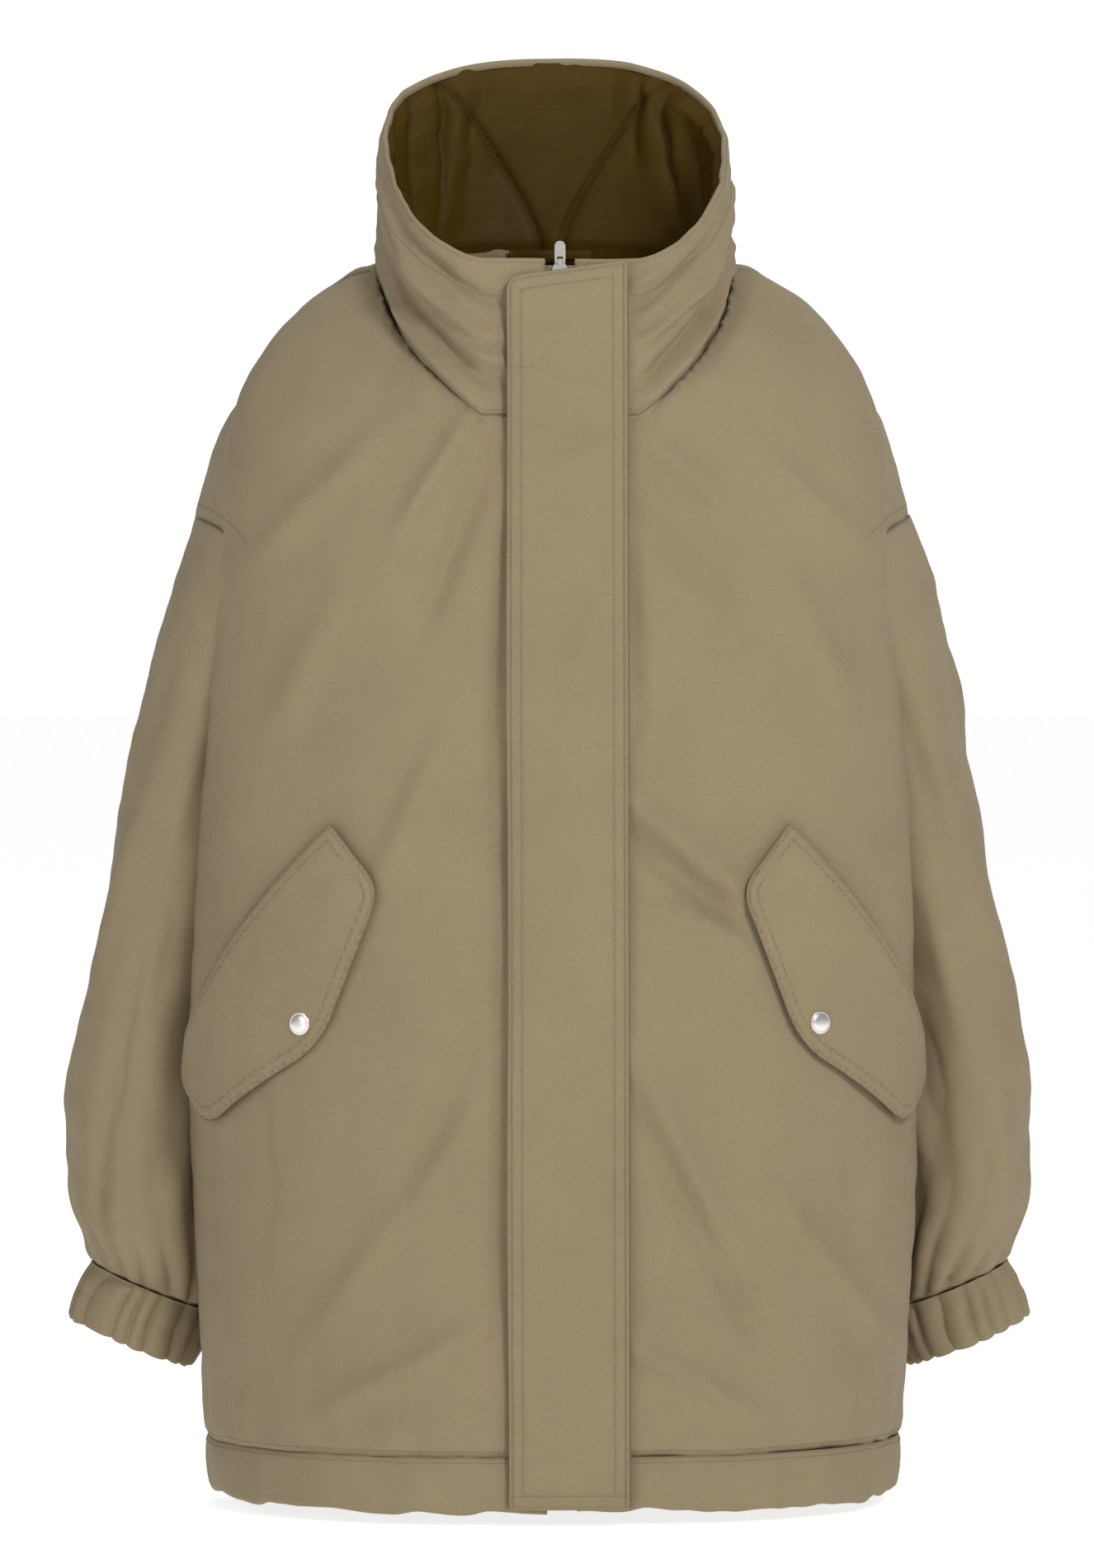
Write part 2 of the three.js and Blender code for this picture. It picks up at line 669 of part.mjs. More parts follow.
function addPull() {
  const foot = pivot.z - pullThickness / 2;
  const outline = new THREE.Shape();
  outline.moveTo(-pullHalfWidth + 0.8, foot);
  outline.lineTo(pullHalfWidth - 0.8, foot);
  outline.lineTo(pullHalfWidth, foot + 1.5);
  outline.lineTo(pullHalfWidth, foot + pullLength - pullHalfWidth);
  outline.absarc(0, foot + pullLength - pullHalfWidth, pullHalfWidth, 0, Math.PI, false);
  outline.lineTo(-pullHalfWidth, foot + 1.5);
  const eye = new THREE.Path([
    new THREE.Vector2(-pullEyeHalf, pivot.z + pullThickness / 2),
    new THREE.Vector2(-pullEyeHalf, pivot.z + pullThickness / 2 + pullEyeLength),
    new THREE.Vector2(pullEyeHalf, pivot.z + pullThickness / 2 + pullEyeLength),
    new THREE.Vector2(pullEyeHalf, pivot.z + pullThickness / 2),
  ]);
  outline.holes.push(eye);
  addMesh(front, "zip_pull", plate(outline, pivot.y - pullThickness / 2, pullThickness), "metal");
}

function flapOutline() {
  const shape = new THREE.Shape();
  shape.moveTo(flapFree, flapBottom);
  shape.lineTo(flapSeam, flapBottom);
  shape.lineTo(flapSeam, flapTopSeam);
  shape.lineTo(flapFree + flapCorner, flapTopFree + 0.5);
  shape.quadraticCurveTo(flapFree, flapTopFree, flapFree, flapTopFree - flapCorner);
  return shape;
}

const facingNear = -flapStandOff - flapPly;
const outerNear = facingNear - gap - flapPly;

function addStormFlap() {
  addMesh(front, "storm_flap_outer", plate(flapOutline(), outerNear, flapPly), "twill");
  addMesh(front, "storm_flap_facing", plate(flapOutline(), facingNear, flapPly), "twill");
  const strip = block(flapSeam - 2 * seamStripHalf, flapSeam + 1, -flapStandOff + gap, -gap,
    flapBottom, flapTopFree);
  addMesh(front, "storm_flap_seam_strip", strip, "twill");
  hiddenSnapHeights.forEach((z, i) => {
    const socket = addMesh(front, `storm_flap_snap_socket_${i + 1}`, socketGeometry(flapStandOff - gap), "metal");
    const stud = addMesh(front, `storm_flap_snap_stud_${i + 1}`, studGeometry(flapStandOff - 0.6), "metal");
    socket.position.set(hiddenSnapX, 0, z);
    stud.position.set(hiddenSnapX, 0, z);
  });
}

// Both are drawn about their own axis, with the front's surface at 0 and distances out of it.
const studBase = 1.3;

function socketGeometry(top) {
  const foot = studBase + gap;
  const edge = snapRadius - 0.5;
  return turned([[socketHole, foot], [edge, foot], [snapRadius, top], [socketHole, top], [socketHole, foot]]);
}

function studGeometry(top) {
  const base = [[0, gap], [snapRadius, gap], [snapRadius - 0.4, studBase], [studRadius, studBase]];
  return turned([...base, [studRadius, top - 0.3], [studRadius - 0.4, top], [0, top]]);
}

// ---------------------------------------------------------------- pockets

// A point on the front at a turn and a height, stood off from the cloth's flat facets.
function frontPoint(turn, z, off) {
  const step = 90 / frontSteps;
  const low = Math.min(Math.floor(turn / step), frontSteps - 1) * step;
  const above = bodyHeights.find((height) => height >= z);
  const below = bodyHeights[bodyHeights.indexOf(above) - 1];
  const [a, b] = [below, above].map((height) => {
    const start = bodyPoint(low, false, height);
    return start.lerp(bodyPoint(low + step, false, height), (turn - low) / step);
  });
  const p = a.lerp(b, (z - below) / (above - below));
  return p.addScaledVector(frontNormal(turn, z), off);
}

function frontNormal(turn, z) {
  const step = 2;
  const across = bodyPoint(turn + step, false, z).sub(bodyPoint(turn - step, false, z));
  const rise = bodyPoint(turn, false, z + 10).sub(bodyPoint(turn, false, z - 10));
  return across.cross(rise).normalize();
}

// A curved plate between two edges given as lists of { turn, z }, from depth near to depth far.
function wrappedPlate(first, second, rows, near, far) {
  const grid = [];
  for (let row = 0; row <= rows; row += 1) {
    for (let i = 0; i < first.length; i += 1) {
      const turn = THREE.MathUtils.lerp(first[i].turn, second[i].turn, row / rows);
      const z = THREE.MathUtils.lerp(first[i].z, second[i].z, row / rows);
      grid.push({ turn, z });
    }
  }
  const columns = first.length;
  const points = [near, far].flatMap((off) => grid.map((g) => frontPoint(g.turn, g.z, off)));
  const other = grid.length;
  const triangles = [];
  const quad = (a, b, c, d) => triangles.push([a, b, c], [a, c, d]);
  for (let row = 0; row < rows; row += 1) {
    for (let i = 0; i < columns - 1; i += 1) {
      const a = row * columns + i;
      quad(a, a + 1, a + 1 + columns, a + columns);
      quad(other + a, other + a + columns, other + a + 1 + columns, other + a + 1);
    }
  }
  for (let i = 0; i < columns - 1; i += 1) {
    const top = rows * columns + i;
    quad(i, other + i, other + i + 1, i + 1);
    quad(top, top + 1, other + top + 1, other + top);
  }
  for (let row = 0; row < rows; row += 1) {
    const a = row * columns;
    const b = a + columns - 1;
    quad(a, a + columns, other + a + columns, other + a);
    quad(b, other + b, other + b + columns, b + columns);
  }
  return [points, triangles];
}

// Points along a chain of corners, the same number on each stretch.
function chain(corners, each) {
  const out = [corners[0]];
  for (let k = 1; k < corners.length; k += 1) {
    for (let i = 1; i <= each; i += 1) {
      const turn = THREE.MathUtils.lerp(corners[k - 1].turn, corners[k].turn, i / each);
      const z = THREE.MathUtils.lerp(corners[k - 1].z, corners[k].z, i / each);
      out.push({ turn, z });
    }
  }
  return out;
}

const mirrorPoints = (points, side) => points.map((p) => new THREE.Vector3(side * p.x, p.y, p.z));
const hingeAt = (t) => ({
  turn: THREE.MathUtils.lerp(flapHinge[0].turn, flapHinge[1].turn, t),
  z: THREE.MathUtils.lerp(flapHinge[0].z, flapHinge[1].z, t),
});

// Puts a turned piece on the front at a turn and a height, its axis along the cloth's normal.
function placeOnFront(mesh, turn, z, side) {
  const p = frontPoint(turn, z, pocketSnapSeat);
  const normal = frontNormal(turn, z);
  mesh.position.set(side * p.x, p.y, p.z);
  const outwards = new THREE.Vector3(side * normal.x, normal.y, normal.z);
  mesh.quaternion.setFromUnitVectors(new THREE.Vector3(0, -1, 0), outwards);
}

function addPockets() {
  const hinge = chain([hingeAt(0), hingeAt(0.2), hingeAt(0.4), hingeAt(0.8), hingeAt(1)], 2);
  const free = chain([flapUpperCorner, lerpCorner(flapUpperCorner, flapPoint, 0.5), flapPoint,
    flapLowerCorner, flapEndCorner], 2);
  const mouth = chain([flapHinge[0], flapHinge[1]], 10);
  const foot = mouth.map(({ turn, z }) => ({ turn: turn - 4, z: z - 110 }));
  const capNear = pocketStandOff + pocketPly + 2 * gap;
  for (const [name, side] of [["right", -1], ["left", 1]]) {
    const [points, triangles] = wrappedPlate(hinge, free, 3, pocketStandOff, pocketStandOff + pocketPly);
    addSolid(`${name}_pocket_flap`, toSolid(mirrorPoints(points, side), triangles), "twill");
    const [bagPoints, bagTriangles] = wrappedPlate(mouth, foot, 4, -bagDepth - bagThickness, -bagDepth);
    addSolid(`${name}_pocket_bag`, toSolid(mirrorPoints(bagPoints, side), bagTriangles), "lining");
    const cap = turned([[0, capNear], [capRadius, capNear], [capRadius, capNear + 0.6],
      [capRadius * 0.8, capNear + capHeight * 0.85], [capRadius * 0.4, capNear + capHeight], [0, capNear + capHeight]]);
    const pieces = [
      ["snap_cap", cap],
      ["snap_socket", socketGeometry(pocketStandOff - pocketSnapSlack)],
      ["snap_stud", studGeometry(pocketStandOff - pocketSnapSlack - gap)],
    ];
    for (const [piece, geometry] of pieces) {
      const mesh = addMesh(garment, `${name}_pocket_${piece}`, geometry, "metal");
      placeOnFront(mesh, pocketSnap.turn, pocketSnap.z, side);
    }
  }
}

function lerpCorner(a, b, t) {
  return { turn: THREE.MathUtils.lerp(a.turn, b.turn, t), z: THREE.MathUtils.lerp(a.z, b.z, t) };
}

// ---------------------------------------------------------------- hanging loop

const loopHeight = neckBackHeight - loopRise;
const loopSeatY = insetRings(bodyRings(), liningStart + liningWall).at(-1)[frontSteps + backSteps].y;

function addHangingLoop() {
  const seat = loopSeatY - loopThickness / 2 + loopTuck;
  const path = new THREE.CatmullRomCurve3([
    new THREE.Vector3(-loopHalf, seat, loopHeight),
    new THREE.Vector3(-loopHalf * 0.8, seat - 1, loopHeight),
    new THREE.Vector3(-loopHalf * 0.5, seat - loopBow * 0.8, loopHeight),
    new THREE.Vector3(0, seat - loopBow, loopHeight),
    new THREE.Vector3(loopHalf * 0.5, seat - loopBow * 0.8, loopHeight),
    new THREE.Vector3(loopHalf * 0.8, seat - 1, loopHeight),
    new THREE.Vector3(loopHalf, seat, loopHeight),
  ]);
  const section = new THREE.Shape([
    new THREE.Vector2(-loopWidth / 2, -loopThickness / 2),
    new THREE.Vector2(loopWidth / 2, -loopThickness / 2),
    new THREE.Vector2(loopWidth / 2, loopThickness / 2),
    new THREE.Vector2(-loopWidth / 2, loopThickness / 2),
  ]);
  const geometry = new THREE.ExtrudeGeometry(section, { steps: 16, bevelEnabled: false, extrudePath: path });
  addMesh(garment, "hanging_loop", geometry, "lining");
  return seat;
}

addBodyLayers();
addCuffs();
addZip();
addSlider();
addPull();
addStormFlap();
addPockets();
const loopSeat = addHangingLoop();

garment.position.set(0, -loopSeat, -loopHeight);

export default jacket;
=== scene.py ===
import json
import math
from contextlib import contextmanager
import bmesh
import bpy
import numpy as np
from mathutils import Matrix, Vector
from mathutils.bvhtree import BVHTree
from mathutils.kdtree import KDTree

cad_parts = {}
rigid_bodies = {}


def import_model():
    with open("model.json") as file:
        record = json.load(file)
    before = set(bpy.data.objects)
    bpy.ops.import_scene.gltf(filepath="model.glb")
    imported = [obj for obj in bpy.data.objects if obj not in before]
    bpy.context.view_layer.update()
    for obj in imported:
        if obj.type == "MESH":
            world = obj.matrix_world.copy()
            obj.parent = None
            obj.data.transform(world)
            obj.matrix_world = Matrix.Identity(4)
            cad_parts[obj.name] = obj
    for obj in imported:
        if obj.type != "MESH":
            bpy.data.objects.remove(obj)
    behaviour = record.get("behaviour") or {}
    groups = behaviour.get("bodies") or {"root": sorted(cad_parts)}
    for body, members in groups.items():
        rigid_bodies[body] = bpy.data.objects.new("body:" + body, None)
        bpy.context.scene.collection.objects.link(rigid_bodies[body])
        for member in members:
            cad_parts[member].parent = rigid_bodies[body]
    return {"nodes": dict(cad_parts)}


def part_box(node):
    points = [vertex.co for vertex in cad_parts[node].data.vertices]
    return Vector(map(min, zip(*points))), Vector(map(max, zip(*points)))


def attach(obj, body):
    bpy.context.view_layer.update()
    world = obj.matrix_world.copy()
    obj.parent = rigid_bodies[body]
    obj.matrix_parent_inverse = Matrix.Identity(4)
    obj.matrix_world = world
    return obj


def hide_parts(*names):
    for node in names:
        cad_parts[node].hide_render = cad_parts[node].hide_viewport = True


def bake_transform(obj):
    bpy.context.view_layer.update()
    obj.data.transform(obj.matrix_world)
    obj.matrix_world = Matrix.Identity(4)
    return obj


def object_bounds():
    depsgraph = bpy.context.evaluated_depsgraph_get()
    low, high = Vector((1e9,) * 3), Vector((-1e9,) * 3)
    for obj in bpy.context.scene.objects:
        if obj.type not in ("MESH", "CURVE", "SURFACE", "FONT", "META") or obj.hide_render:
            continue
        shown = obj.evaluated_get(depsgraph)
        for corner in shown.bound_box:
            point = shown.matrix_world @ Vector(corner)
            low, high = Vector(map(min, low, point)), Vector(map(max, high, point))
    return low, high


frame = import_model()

scene = bpy.context.scene
for spare in [o for o in bpy.data.objects if o.name in ("Cube", "Light", "Camera")]:
    bpy.data.objects.remove(spare)
cadLow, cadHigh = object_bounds()  # the model's own box, kept before anything is added
scene.view_settings.view_transform = "Standard"
print("frame loaded:", len(frame["nodes"]), "nodes")

# The garment is drawn in millimetres up from its hem, y = 0 at mid depth, then placed where the hem band is.
body = {
    "hemHalf": 233, "hipHalf": 246, "waistHalf": 238, "chestHalf": 226,
    "hip": 300, "waist": 480, "chest": 660,
    "frontDepthHem": 150, "frontDepthRim": 105, "backDepth": 130,
    "widestHip": 22, "widestWaist": 4, "widestChest": -15,
    "frontFlat": 52, "backFlat": 30, "hemBand": 38, "zipGap": 10,
    "seamSide": 46, "seamNeck": 5, "shoulderSwell": 52,
}
neck = {"half": 119, "front": 729, "side": 826, "back": 845, "backDepth": 85}
rim = {"half": 116, "front": 832, "side": 910, "back": 967, "backDepth": 95, "widest": 10, "swell": 1}
# one sleeve from the shoulder down: centre x, y, z, half width, half depth, lean, turn in degrees
sleeveStops = [
    (150, 26, 740, 38, 58, 58, 0), (184, 34, 703, 44, 74, 36, 0), (200, 40, 640, 46, 84, 25, 0),
    (222, 62, 545, 46, 86, 13, 8), (238, 76, 456, 46, 84, 11, 14), (257, 84, 346, 47, 82, 10, 14),
    (270, 88, 252, 51, 82, 12, 12), (272, 86, 195, 51, 78, 16, 10), (270, 84, 157, 47, 66, 20, 5),
    (271, 84, 134, 44, 54, 22, 0),
]
armholeStop = 2
frontLean = (body["frontDepthHem"] - body["frontDepthRim"]) / rim["front"]
frontAngle = math.atan(frontLean)
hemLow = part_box("hem_band")[0] * 1000
shift = np.array([0, hemLow.y + body["frontDepthHem"], hemLow.z])


def toRow(p):
    return (np.asarray(p, float) + shift) / 1000


def fromRow(p):
    return np.asarray(p, float) * 1000 - shift


def frontPlane(x, y, z):  # x across, y inwards, z up the line of the front
    c, s = math.cos(frontAngle), math.sin(frontAngle)
    return np.stack([x, -body["frontDepthHem"] + y * c + z * s, z * c - y * s], -1)


def profile(stops, z):  # a smooth curve through [height, value] stops
    h = np.array([s[0] for s in stops], float)
    v = np.array([s[1] for s in stops], float)
    slope = np.gradient(v, h) if len(h) > 2 else np.full(len(h), (v[-1] - v[0]) / (h[-1] - h[0]))
    z = np.clip(z, h[0], h[-1])
    i = np.clip(np.searchsorted(h, z, side="right") - 1, 0, len(h) - 2)
    d = h[i + 1] - h[i]
    t = (z - h[i]) / d
    a = slope[i] * d - (v[i + 1] - v[i])
    b = (v[i + 1] - v[i]) - slope[i + 1] * d
    return v[i] + (v[i + 1] - v[i]) * t + t * (1 - t) * (a * (1 - t) + b * t)


def smooth(a, b, x):
    t = np.clip((x - a) / (b - a), 0, 1)
    return t * t * (3 - 2 * t)


def bump(x, middle, width):  # a rounded hump, 1 in the middle
    return np.exp(-((x - middle) / width) ** 2)


def frontY(z):
    return -(body["frontDepthHem"] - frontLean * z)


def bodyPoint(turn, isBack, z):  # turn runs 0 to 90 degrees in each quarter of a section
    b = body
    half = profile([(0, b["hemHalf"]), (b["hip"], b["hipHalf"]), (b["waist"], b["waistHalf"]),
                    (b["chest"], b["chestHalf"])], z)
    widest = profile([(0, b["widestHip"]), (b["hip"], b["widestHip"]), (b["waist"], b["widestWaist"]),
                      (b["chest"], b["widestChest"])], z)
    s, c = np.sin(np.radians(turn)), np.cos(np.radians(turn))
    xf = b["frontFlat"] + (half - b["frontFlat"]) * s
    yf = widest - (widest - frontY(z)) * c
    xb = b["backFlat"] + (half - b["backFlat"]) * c
    yb = widest + (b["backDepth"] - widest) * np.abs(s) ** 0.9
    return np.stack([np.where(isBack, xb, xf), np.where(isBack, yb, yf), z + 0 * s], -1)


def neckPoint(turn, isBack):
    s, c = np.sin(np.radians(turn)), np.cos(np.radians(turn))
    xf = body["frontFlat"] + (neck["half"] - body["frontFlat"]) * s
    zf = neck["front"] + (neck["side"] - neck["front"]) * (np.abs(turn) / 90) ** 1.1
    xb = body["backFlat"] + (neck["half"] - body["backFlat"]) * c
    zb = neck["side"] + (neck["back"] - neck["side"]) * s
    y = np.where(isBack, neck["backDepth"] * s, frontY(neck["front"]) * c)
    return np.stack([np.where(isBack, xb, xf), y, np.where(isBack, zb, zf)], -1)


def rimPoint(turn, isBack):
    s, c = np.sin(np.radians(turn)), np.cos(np.radians(turn))
    xf = body["frontFlat"] + (rim["half"] - body["frontFlat"]) * s
    yf = rim["widest"] - (rim["widest"] - frontY(rim["front"])) * c
    zf = rim["front"] + (rim["side"] - rim["front"]) * (np.abs(turn) / 90) ** 1.55
    xb = body["backFlat"] + (rim["half"] - body["backFlat"]) * c
    yb = rim["widest"] + (rim["backDepth"] - rim["widest"]) * s
    zb = rim["side"] + (rim["back"] - rim["side"]) * np.abs(s) ** 0.8
    return np.stack([np.where(isBack, xb, xf), np.where(isBack, yb, yf), np.where(isBack, zb, zf)], -1)


def shoulderPoint(turn, isBack, t):
    low = bodyPoint(turn, isBack, 0 * turn + body["chest"])
    high = neckPoint(turn, isBack)
    side = np.where(isBack, np.cos(np.radians(turn)), np.sin(np.radians(turn)))
    back = np.where(isBack, np.sin(np.radians(turn)), 0)
    knee = (low + high) / 2
    knee[..., 0] += body["shoulderSwell"] * side ** 2
    knee[..., 1] += 16 * back ** 2
    knee[..., 2] += body["shoulderSwell"] * side ** 2 + 38 * back ** 2
    t = np.asarray(t)[..., None]
    return low * (1 - t) ** 2 + knee * 2 * t * (1 - t) + high * t * t


# a closed ring: right flat strip edge, side, back, and the mirrored other side
def sectionLoop(place, steps):
    turn = np.concatenate([np.linspace(0, 90, steps + 1), np.linspace(0, 90, steps + 1)[1:]])
    isBack = np.concatenate([np.zeros(steps + 1, bool), np.ones(steps, bool)])
    half = place(turn, isBack)
    backGap = np.linspace(1, -1, 9)[1:-1, None]
    middleBack = half[-1] * [0, 1, 1] + half[-1] * [1, 0, 0] * backGap
    other = half[::-1] * [-1, 1, 1]
    frontGap = np.linspace(-1, 1, 15)[1:-1, None]
    middleFront = half[0] * [0, 1, 1] + half[0] * [1, 0, 0] * frontGap
    return np.concatenate([half, middleBack, other, middleFront])


def sleeveAt(t):  # centre, frame and half sizes at a place along the sleeve, in stops
    stops = np.array(sleeveStops, float)
    k = np.arange(len(stops))
    row = np.array([profile(list(zip(k, stops[:, j])), np.asarray(t, float)) for j in range(7)]).T
    x, y, z, a, b, lean, turn = [row[..., j] for j in range(7)]
    lean, turn = np.radians(lean), np.radians(turn)
    zero = 0 * lean
    down = np.stack([-np.sin(lean), zero, -np.cos(lean)], -1)
    front = np.stack([-np.sin(turn), -np.cos(turn), zero], -1)
    out = np.cross(down, front)
    out /= np.linalg.norm(out, axis=-1, keepdims=True)
    return np.stack([-x, y, z], -1), down, front, out, a, b


def sleeveRing(t, angle, side=-1, grow=0):
    centre, down, front, out, a, b = sleeveAt(t)
    p = (centre[..., None, :] + out[..., None, :] * ((a[..., None] + grow) * np.cos(angle))[..., None]
         + front[..., None, :] * ((b[..., None] + grow) * np.sin(angle))[..., None])
    return p * [-side, 1, 1]


# meshes
@contextmanager
def editing(obj):  # the object's mesh opened for edits, then written back
    mesh = bmesh.new()
    mesh.from_mesh(obj.data)
    yield mesh
    mesh.to_mesh(obj.data)
    mesh.free()


def newObject(name, verts, faces):
    mesh = bpy.data.meshes.new(name)
    mesh.from_pydata([tuple(v) for v in np.asarray(verts, float)], [], [tuple(f) for f in faces])
    mesh.validate()
    obj = bpy.data.objects.new(name, mesh)
    scene.collection.objects.link(obj)
    for poly in mesh.polygons:
        poly.use_smooth = True
    return obj


def gridFaces(rows, columns, closed=False, flip=False):
    faces = []
    for r in range(rows - 1):
        for c in range(columns if closed else columns - 1):
            a, b = r * columns + c, r * columns + (c + 1) % columns
            face = (a, b, b + columns, a + columns)
            faces.append(face[::-1] if flip else face)
    return faces


def gridObject(name, points, closed=False, flip=False):
    rows, columns = points.shape[:2]
    return newObject(name, toRow(points.reshape(-1, 3)), gridFaces(rows, columns, closed, flip))


def bake(obj):  # every modifier applied, the result kept as a plain mesh
    bpy.context.view_layer.update()
    mesh = bpy.data.meshes.new_from_object(obj.evaluated_get(bpy.context.evaluated_depsgraph_get()))
    obj.modifiers.clear()
    old = obj.data
    obj.data = mesh
    bpy.data.meshes.remove(old)
    return obj


def addModifier(obj, kind, **values):
    m = obj.modifiers.new(kind.title(), kind)
    for key, value in values.items():
        setattr(m, key, value)
    return m


def getPoints(obj):
    co = np.zeros(len(obj.data.vertices) * 3)
    obj.data.vertices.foreach_get("co", co)
    return co.reshape(-1, 3)


def getNormals(obj):
    no = np.zeros(len(obj.data.vertices) * 3)
    obj.data.vertices.foreach_get("normal", no)
    return no.reshape(-1, 3)


def setPoints(obj, points):
    obj.data.vertices.foreach_set("co", np.asarray(points, np.float32).ravel())
    obj.data.update()


def setAttribute(obj, name, values):
    layer = obj.data.attributes.get(name) or obj.data.attributes.new(name, "FLOAT", "POINT")
    layer.data.foreach_set("value", np.asarray(values, np.float32))


def thicken(obj, wall, offset=-1):  # slivers are merged first, so no corner runs out to a spike
    with editing(obj) as mesh:
        bmesh.ops.remove_doubles(mesh, verts=mesh.verts, dist=0.00025)
        bmesh.ops.dissolve_degenerate(mesh, edges=mesh.edges, dist=0.0001)
    addModifier(obj, "SOLIDIFY", thickness=wall / 1000, offset=offset, use_even_offset=False)
    return bake(obj)


def finishPiece(obj, bodyName, material, slotName, *nodes):
    obj.data.materials.clear()
    obj.data.materials.append(material)
    if bodyName:
        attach(obj, bodyName)
    if nodes:
        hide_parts(*nodes)
    return obj


def waves(p, size, seed):  # smooth three-way noise at a scale in millimetres
    rng = np.random.default_rng(seed)
    total = np.zeros(len(p))
    for octave in range(3):
        for _ in range(5):
            direction = rng.normal(size=3)
            direction /= np.linalg.norm(direction)
            total += np.sin(p @ direction * 2 * math.pi / size * 1.9 ** octave + rng.uniform(0,
                    6.3)) / 1.9 ** octave
    return total / 5


def fold(p, start, end, width, depth, taper=0.35):  # a soft ridge (or valley) lying along a line in x and z
    a, b = np.array(start, float), np.array(end, float)
    q = p[:, [0, 2]]
    d = b - a
    t = ((q - a) @ d) / (d @ d)
    off = (q - a) @ np.array([-d[1], d[0]]) / np.linalg.norm(d)
    along = smooth(-taper, taper, t) * smooth(-taper, taper, 1 - t)
    return depth * along * np.exp(-(off / width) ** 2)


print("shapes ready")

# body
torso = {
    "voxel": 5, "wall": 1.6, "softening": 5, "hemPuff": 2.4, "hemPuckers": 2.6, "puckerSpacing": 46,
    "seamPinch": 1.1, "swell": 2.6, "crumple": 1.4, "foldGain": 3.5, "liningDepth": 9, "liningVoxel": 9,
}
frontFolds = [  # start, end (x, z), width, depth: drag lines of the padded fronts
    ((-60, 728), (-105, 655), 11, 2.4), ((-48, 700), (-92, 590), 14, -2.2),
    ((-120, 715), (-195, 640), 16, 2.0), ((60, 712), (112, 668), 11, 2.2),
    ((52, 660), (120, 600), 14, -1.8), ((130, 706), (205, 640), 16, 2.0),
    ((50, 470), (128, 405), 13, 2.6), ((56, 440), (150, 372), 12, -2.4),
    ((60, 402), (118, 384), 9, 2.0), ((52, 300), (110, 170), 16, 2.6),
    ((60, 250), (130, 120), 13, -2.4), ((50, 110), (128, 66), 11, 2.6),
    ((140, 210), (210, 120), 15, 2.0), ((-60, 120), (-150, 70), 12, 2.2),
    ((-52, 330), (-110, 190), 18, -1.8), ((-70, 250), (-160, 120), 16, 2.0),
    ((-120, 420), (-75, 520), 16, 1.8), ((-190, 520), (-150, 600), 18, 1.6),
    ((190, 540), (150, 620), 18, 1.8), ((215, 330), (196, 200), 14, -1.6),
    ((-215, 330), (-200, 200), 14, -1.6), ((-38, 640), (-44, 480), 6, -1.6),
    ((47, 640), (52, 520), 6, -1.4), ((-39, 420), (-42, 150), 6, -1.2),
]
backFolds = [
    ((-60, 760), (-150, 640), 18, 2.6), ((60, 765), (150, 650), 18, 2.4), ((-30, 700), (-60, 520), 22, -2.4),
    ((40, 690), (90, 500), 22, 2.2), ((-150, 520), (-110, 300), 24, 2.4), ((120, 420), (170, 220), 22, -2.4),
    ((-60, 330), (-20, 120), 20, 2.0), ((30, 260), (80, 90), 18, 2.2), ((-190, 240), (-150, 90), 16, 2.0),
]


def ringsObject(name, rings):  # a closed solid through rings of equal count
    count = len(rings[0])
    points = np.concatenate(rings)
    faces = gridFaces(len(rings), count, closed=True)
    last = (len(rings) - 1) * count
    points = np.concatenate([points, rings[0].mean(0)[None], rings[-1].mean(0)[None]])
    foot, top = len(points) - 2, len(points) - 1
    for c in range(count):
        faces += [(c, foot, (c + 1) % count), (last + c, last + (c + 1) % count, top)]
    obj = newObject(name, toRow(points), faces)
    with editing(obj) as mesh:
        bmesh.ops.recalc_face_normals(mesh, faces=mesh.faces)
    return obj


def bodyRings(low=-25):
    rings = [sectionLoop(lambda t, k: bodyPoint(t, k, np.full(t.shape, float(z))), 22)
             for z in np.linspace(low, body["chest"] - 12, 44)]
    rings += [sectionLoop(lambda t, k: shoulderPoint(t, k, np.full(t.shape, u)), 22) for u in np.linspace(0,
            1, 18)]
    return rings


def stubRings(side):
    angle = np.linspace(0, 2 * math.pi, 48, endpoint=False)
    rings = [sleeveRing(np.array(u), angle, side) for u in np.linspace(0, armholeStop, 12)]
    down = sleeveAt(np.array(float(armholeStop)))[1] * [-side, 1, 1]
    last = sleeveRing(np.array(float(armholeStop)), angle, side, -3.5)
    rings += [last + down * 4, last + down * 14]
    return rings


def clothSolid(name, voxel, inset=0):
    parts = [ringsObject(name, bodyRings())] + [ringsObject(name + str(s), stubRings(s)) for s in (-1, 1)]
    bpy.ops.object.select_all(action="DESELECT")
    for o in parts:
        o.select_set(True)
    bpy.context.view_layer.objects.active = parts[0]
    bpy.ops.object.join()
    obj = parts[0]
    addModifier(obj, "REMESH", mode="VOXEL", voxel_size=voxel / 1000, use_smooth_shade=True)
    addModifier(obj, "SMOOTH", factor=0.5, iterations=torso["softening"])
    bake(obj)
    if inset:
        setPoints(obj, getPoints(obj) - getNormals(obj) * inset / 1000)
        addModifier(obj, "SMOOTH", factor=0.5, iterations=4)
        bake(obj)
    return obj


def neckLoop():
    return sectionLoop(neckPoint, 40)


def insideRing(p, ring, scale=1.0):  # points inside a closed plan outline, by angle about its middle
    centre = ring[:, :2].mean(0)
    q = p[:, :2] - centre
    r = ring[:, :2] - centre
    angle = np.arctan2(r[:, 1], r[:, 0])
    order = np.argsort(angle)
    radius = np.interp(np.arctan2(q[:, 1], q[:, 0]), angle[order], np.hypot(*r.T)[order] * scale,
                       period=2 * math.pi)
    return np.hypot(*q.T) < radius


